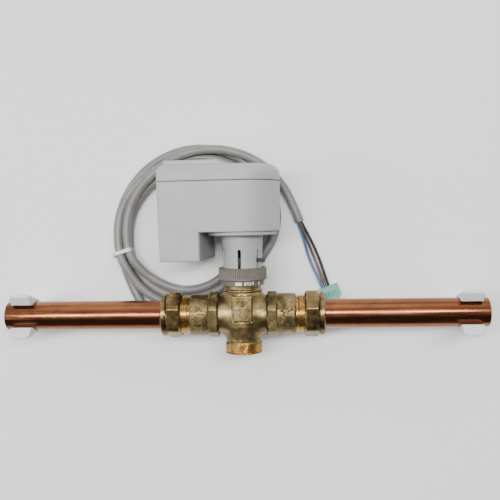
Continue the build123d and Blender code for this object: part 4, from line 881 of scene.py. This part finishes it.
def clip_field(x, y, z):
    """Clip about x = 0: foot, open saddle and two flared ears with round corners."""
    up = z - AXIS_HEIGHT
    rho = np.hypot(y, up)
    width = np.abs(x) - 7.95
    foot = np.maximum(np.abs(y) - 9.0, np.maximum(-z, up))
    d = soft_min(rho - 13.6, foot, 2.0)
    mouth = np.maximum(np.abs(y) - 8.6, -up)
    d = np.maximum(d, -mouth)
    d = round_max(d, width, 0.5)
    d = np.maximum(d, -z)
    # ear: a slab that leaves the saddle at the mouth and leans outwards
    lean_y, lean_z = 0.776, 0.63
    along = (np.abs(y) - EAR_Y) * lean_y + (up - EAR_UP) * lean_z
    thick = np.abs(-(np.abs(y) - EAR_Y) * lean_z + (up - EAR_UP) * lean_y + 0.1) - 1.15
    ear = round_max(width, along - 9.6, 3.6)
    ear = round_max(np.maximum(ear, -along - 0.5), thick, 0.6)
    d = soft_min(d, ear, 1.0)
    web = np.maximum(np.abs(y) - 13.4 - 0.24 * np.clip(up, 0, 12), np.maximum(-1.0 - up, up - 11.0))
    web = np.maximum(web, (np.abs(y) - EAR_Y) * -lean_z + (up - EAR_UP) * lean_y)
    d = soft_min(d, round_max(web, width + 0.3, 0.6), 0.6)
    d = np.maximum(d, -(rho - SADDLE_R))
    d = np.maximum(d, -mouth)
    hole = np.hypot(x, y)
    d = np.maximum(d, -np.minimum(hole - 2.2, np.maximum(hole - 4.2, 4.0 - z)))
    return np.maximum(d, up - 15.7)


for name, side in (("left", -1), ("right", 1)):
    clip = surface_net(f"{name}_pipe_clip", (-8.3, -17.0, -0.4), (8.3, 17.0, 51.2), 0.36, clip_field,
                       Matrix.Translation((side * CLIP_X, 0, 0)))
    finish_piece(clip, "clip_plastic", nodes=(f"{name}_clip",))

# ---------------------------------------------------------------- return spring
SPRING_FOOT, SPRING_HEAD = 28.0, 35.6
SPRING_R, WIRE_R, SPRING_TURNS = 5.4, 0.55, 4.0
WIRE_GAP = 0.06
WIRE_SIDES = 8
STATIONS = 161


def spring_points():
    """Rings of points round the wire, one ring after the other up the helix."""
    low, high = SPRING_FOOT + WIRE_R + WIRE_GAP, SPRING_HEAD - WIRE_R - WIRE_GAP
    points = []
    for i in range(STATIONS):
        t = i / (STATIONS - 1)
        a = 2 * math.pi * SPRING_TURNS * t
        for k in range(WIRE_SIDES):
            b = 2 * math.pi * k / WIRE_SIDES
            r = SPRING_R + WIRE_R * math.cos(b)
            points.append((r * math.cos(a), r * math.sin(a), low + (high - low) * t + WIRE_R * math.sin(b)))
    return points


spring_quads = [
    (i * WIRE_SIDES + k, i * WIRE_SIDES + (k + 1) % WIRE_SIDES, (i + 1) * WIRE_SIDES + (k + 1) % WIRE_SIDES,
     (i + 1) * WIRE_SIDES + k)
    for i in range(STATIONS - 1) for k in range(WIRE_SIDES)
]
last_ring = (STATIONS - 1) * WIRE_SIDES
for a, b, c, d in ((0, 1, 2, 3), (0, 3, 4, 7), (4, 5, 6, 7)):
    spring_quads.append((d, c, b, a))
    spring_quads.append((last_ring + a, last_ring + b, last_ring + c, last_ring + d))
spring = quad_object("return_spring", spring_points(), [q[::-1] for q in spring_quads], VALVE)
finish_piece(spring, "spring_steel", nodes=("valve_spring",))
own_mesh(spring)

# ---------------------------------------------------------------- CAD nodes that stay as they are
KEPT = {
    "turned_brass": ("spindle_gland", "lower_seat", "closing_plug", "spring_retainer", "left_olive",
                     "right_olive"),
    "zinc_steel": ("valve_stem", "neck_screws", "front_plate", "back_plate", "plate_pillars", "gear_pins",
                   "motor_can"),
    "rubber": ("plug_seals", "gland_seal"),
    "fibre": ("left_washer", "right_washer"),
    "gear_plastic": ("first_gear", "output_gear"),
    "dark_plastic": ("pusher", "limit_switch", "motor_rotor"),
    "board": ("circuit_board",),
    "component_blue": ("capacitor",),
    "connector_green": ("terminal_block",),
    "winding": ("motor_coil",),
}
for slot, nodes in KEPT.items():
    for node in nodes:
        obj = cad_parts[node]
        obj.data.materials.clear()
        obj.data.materials.append(MATERIALS[slot])

# ---------------------------------------------------------------- floor and light
mat, tree, shader, coord = new_material("floor")
pale = ramp(tree, noise(tree, coord, 3.0, 3), (0.3, (0.93, 0.93, 0.925)), (0.7, (0.95, 0.95, 0.945)))
tree.links.new(pale, shader.inputs["Base Color"])
shader.inputs["Roughness"].default_value = 0.8
bpy.ops.mesh.primitive_plane_add(size=6, location=(0, 0, -0.0002))
floor = bpy.context.object
floor.name = "floor"
floor.data.materials.append(mat)


def area_light(name, place, aim, size, power):
    light = bpy.data.lights.new(name, "AREA")
    light.shape = "RECTANGLE"
    light.size, light.size_y = size
    light.energy = power
    obj = bpy.data.objects.new(name, light)
    obj.location = place
    obj.rotation_euler = (Vector(aim) - Vector(place)).to_track_quat("-Z", "Y").to_euler()
    bpy.context.scene.collection.objects.link(obj)


area_light("key", (-0.08, 0.2, 1.5), (-0.05, 0.05, 0), (1.9, 0.2), 32)
area_light("fill_back", (0.0, 1.6, 0.9), (0, 0.05, 0), (2.0, 1.0), 7)
area_light("fill_left", (-1.5, -0.2, 1.0), (0, 0.05, 0), (1.0, 1.0), 8)
world = bpy.data.worlds.new("studio")
bpy.context.scene.world = world
world.use_nodes = True
sky = world.node_tree.nodes["Background"]
sky_coord = world.node_tree.nodes.new("ShaderNodeTexCoord").outputs["Generated"]
split = world.node_tree.nodes.new("ShaderNodeSeparateXYZ")
world.node_tree.links.new(sky_coord, split.inputs["Vector"])
across = world.node_tree.nodes.new("ShaderNodeMapRange")
across.inputs["From Min"].default_value = -1
world.node_tree.links.new(split.outputs["Y"], across.inputs["Value"])
glow = ramp(world.node_tree, across.outputs["Result"], (0.3, 0.1), (0.55, 0.42), (0.8, 0.8))
world.node_tree.links.new(glow, sky.inputs["Color"])
sky.inputs["Strength"].default_value = 1.0
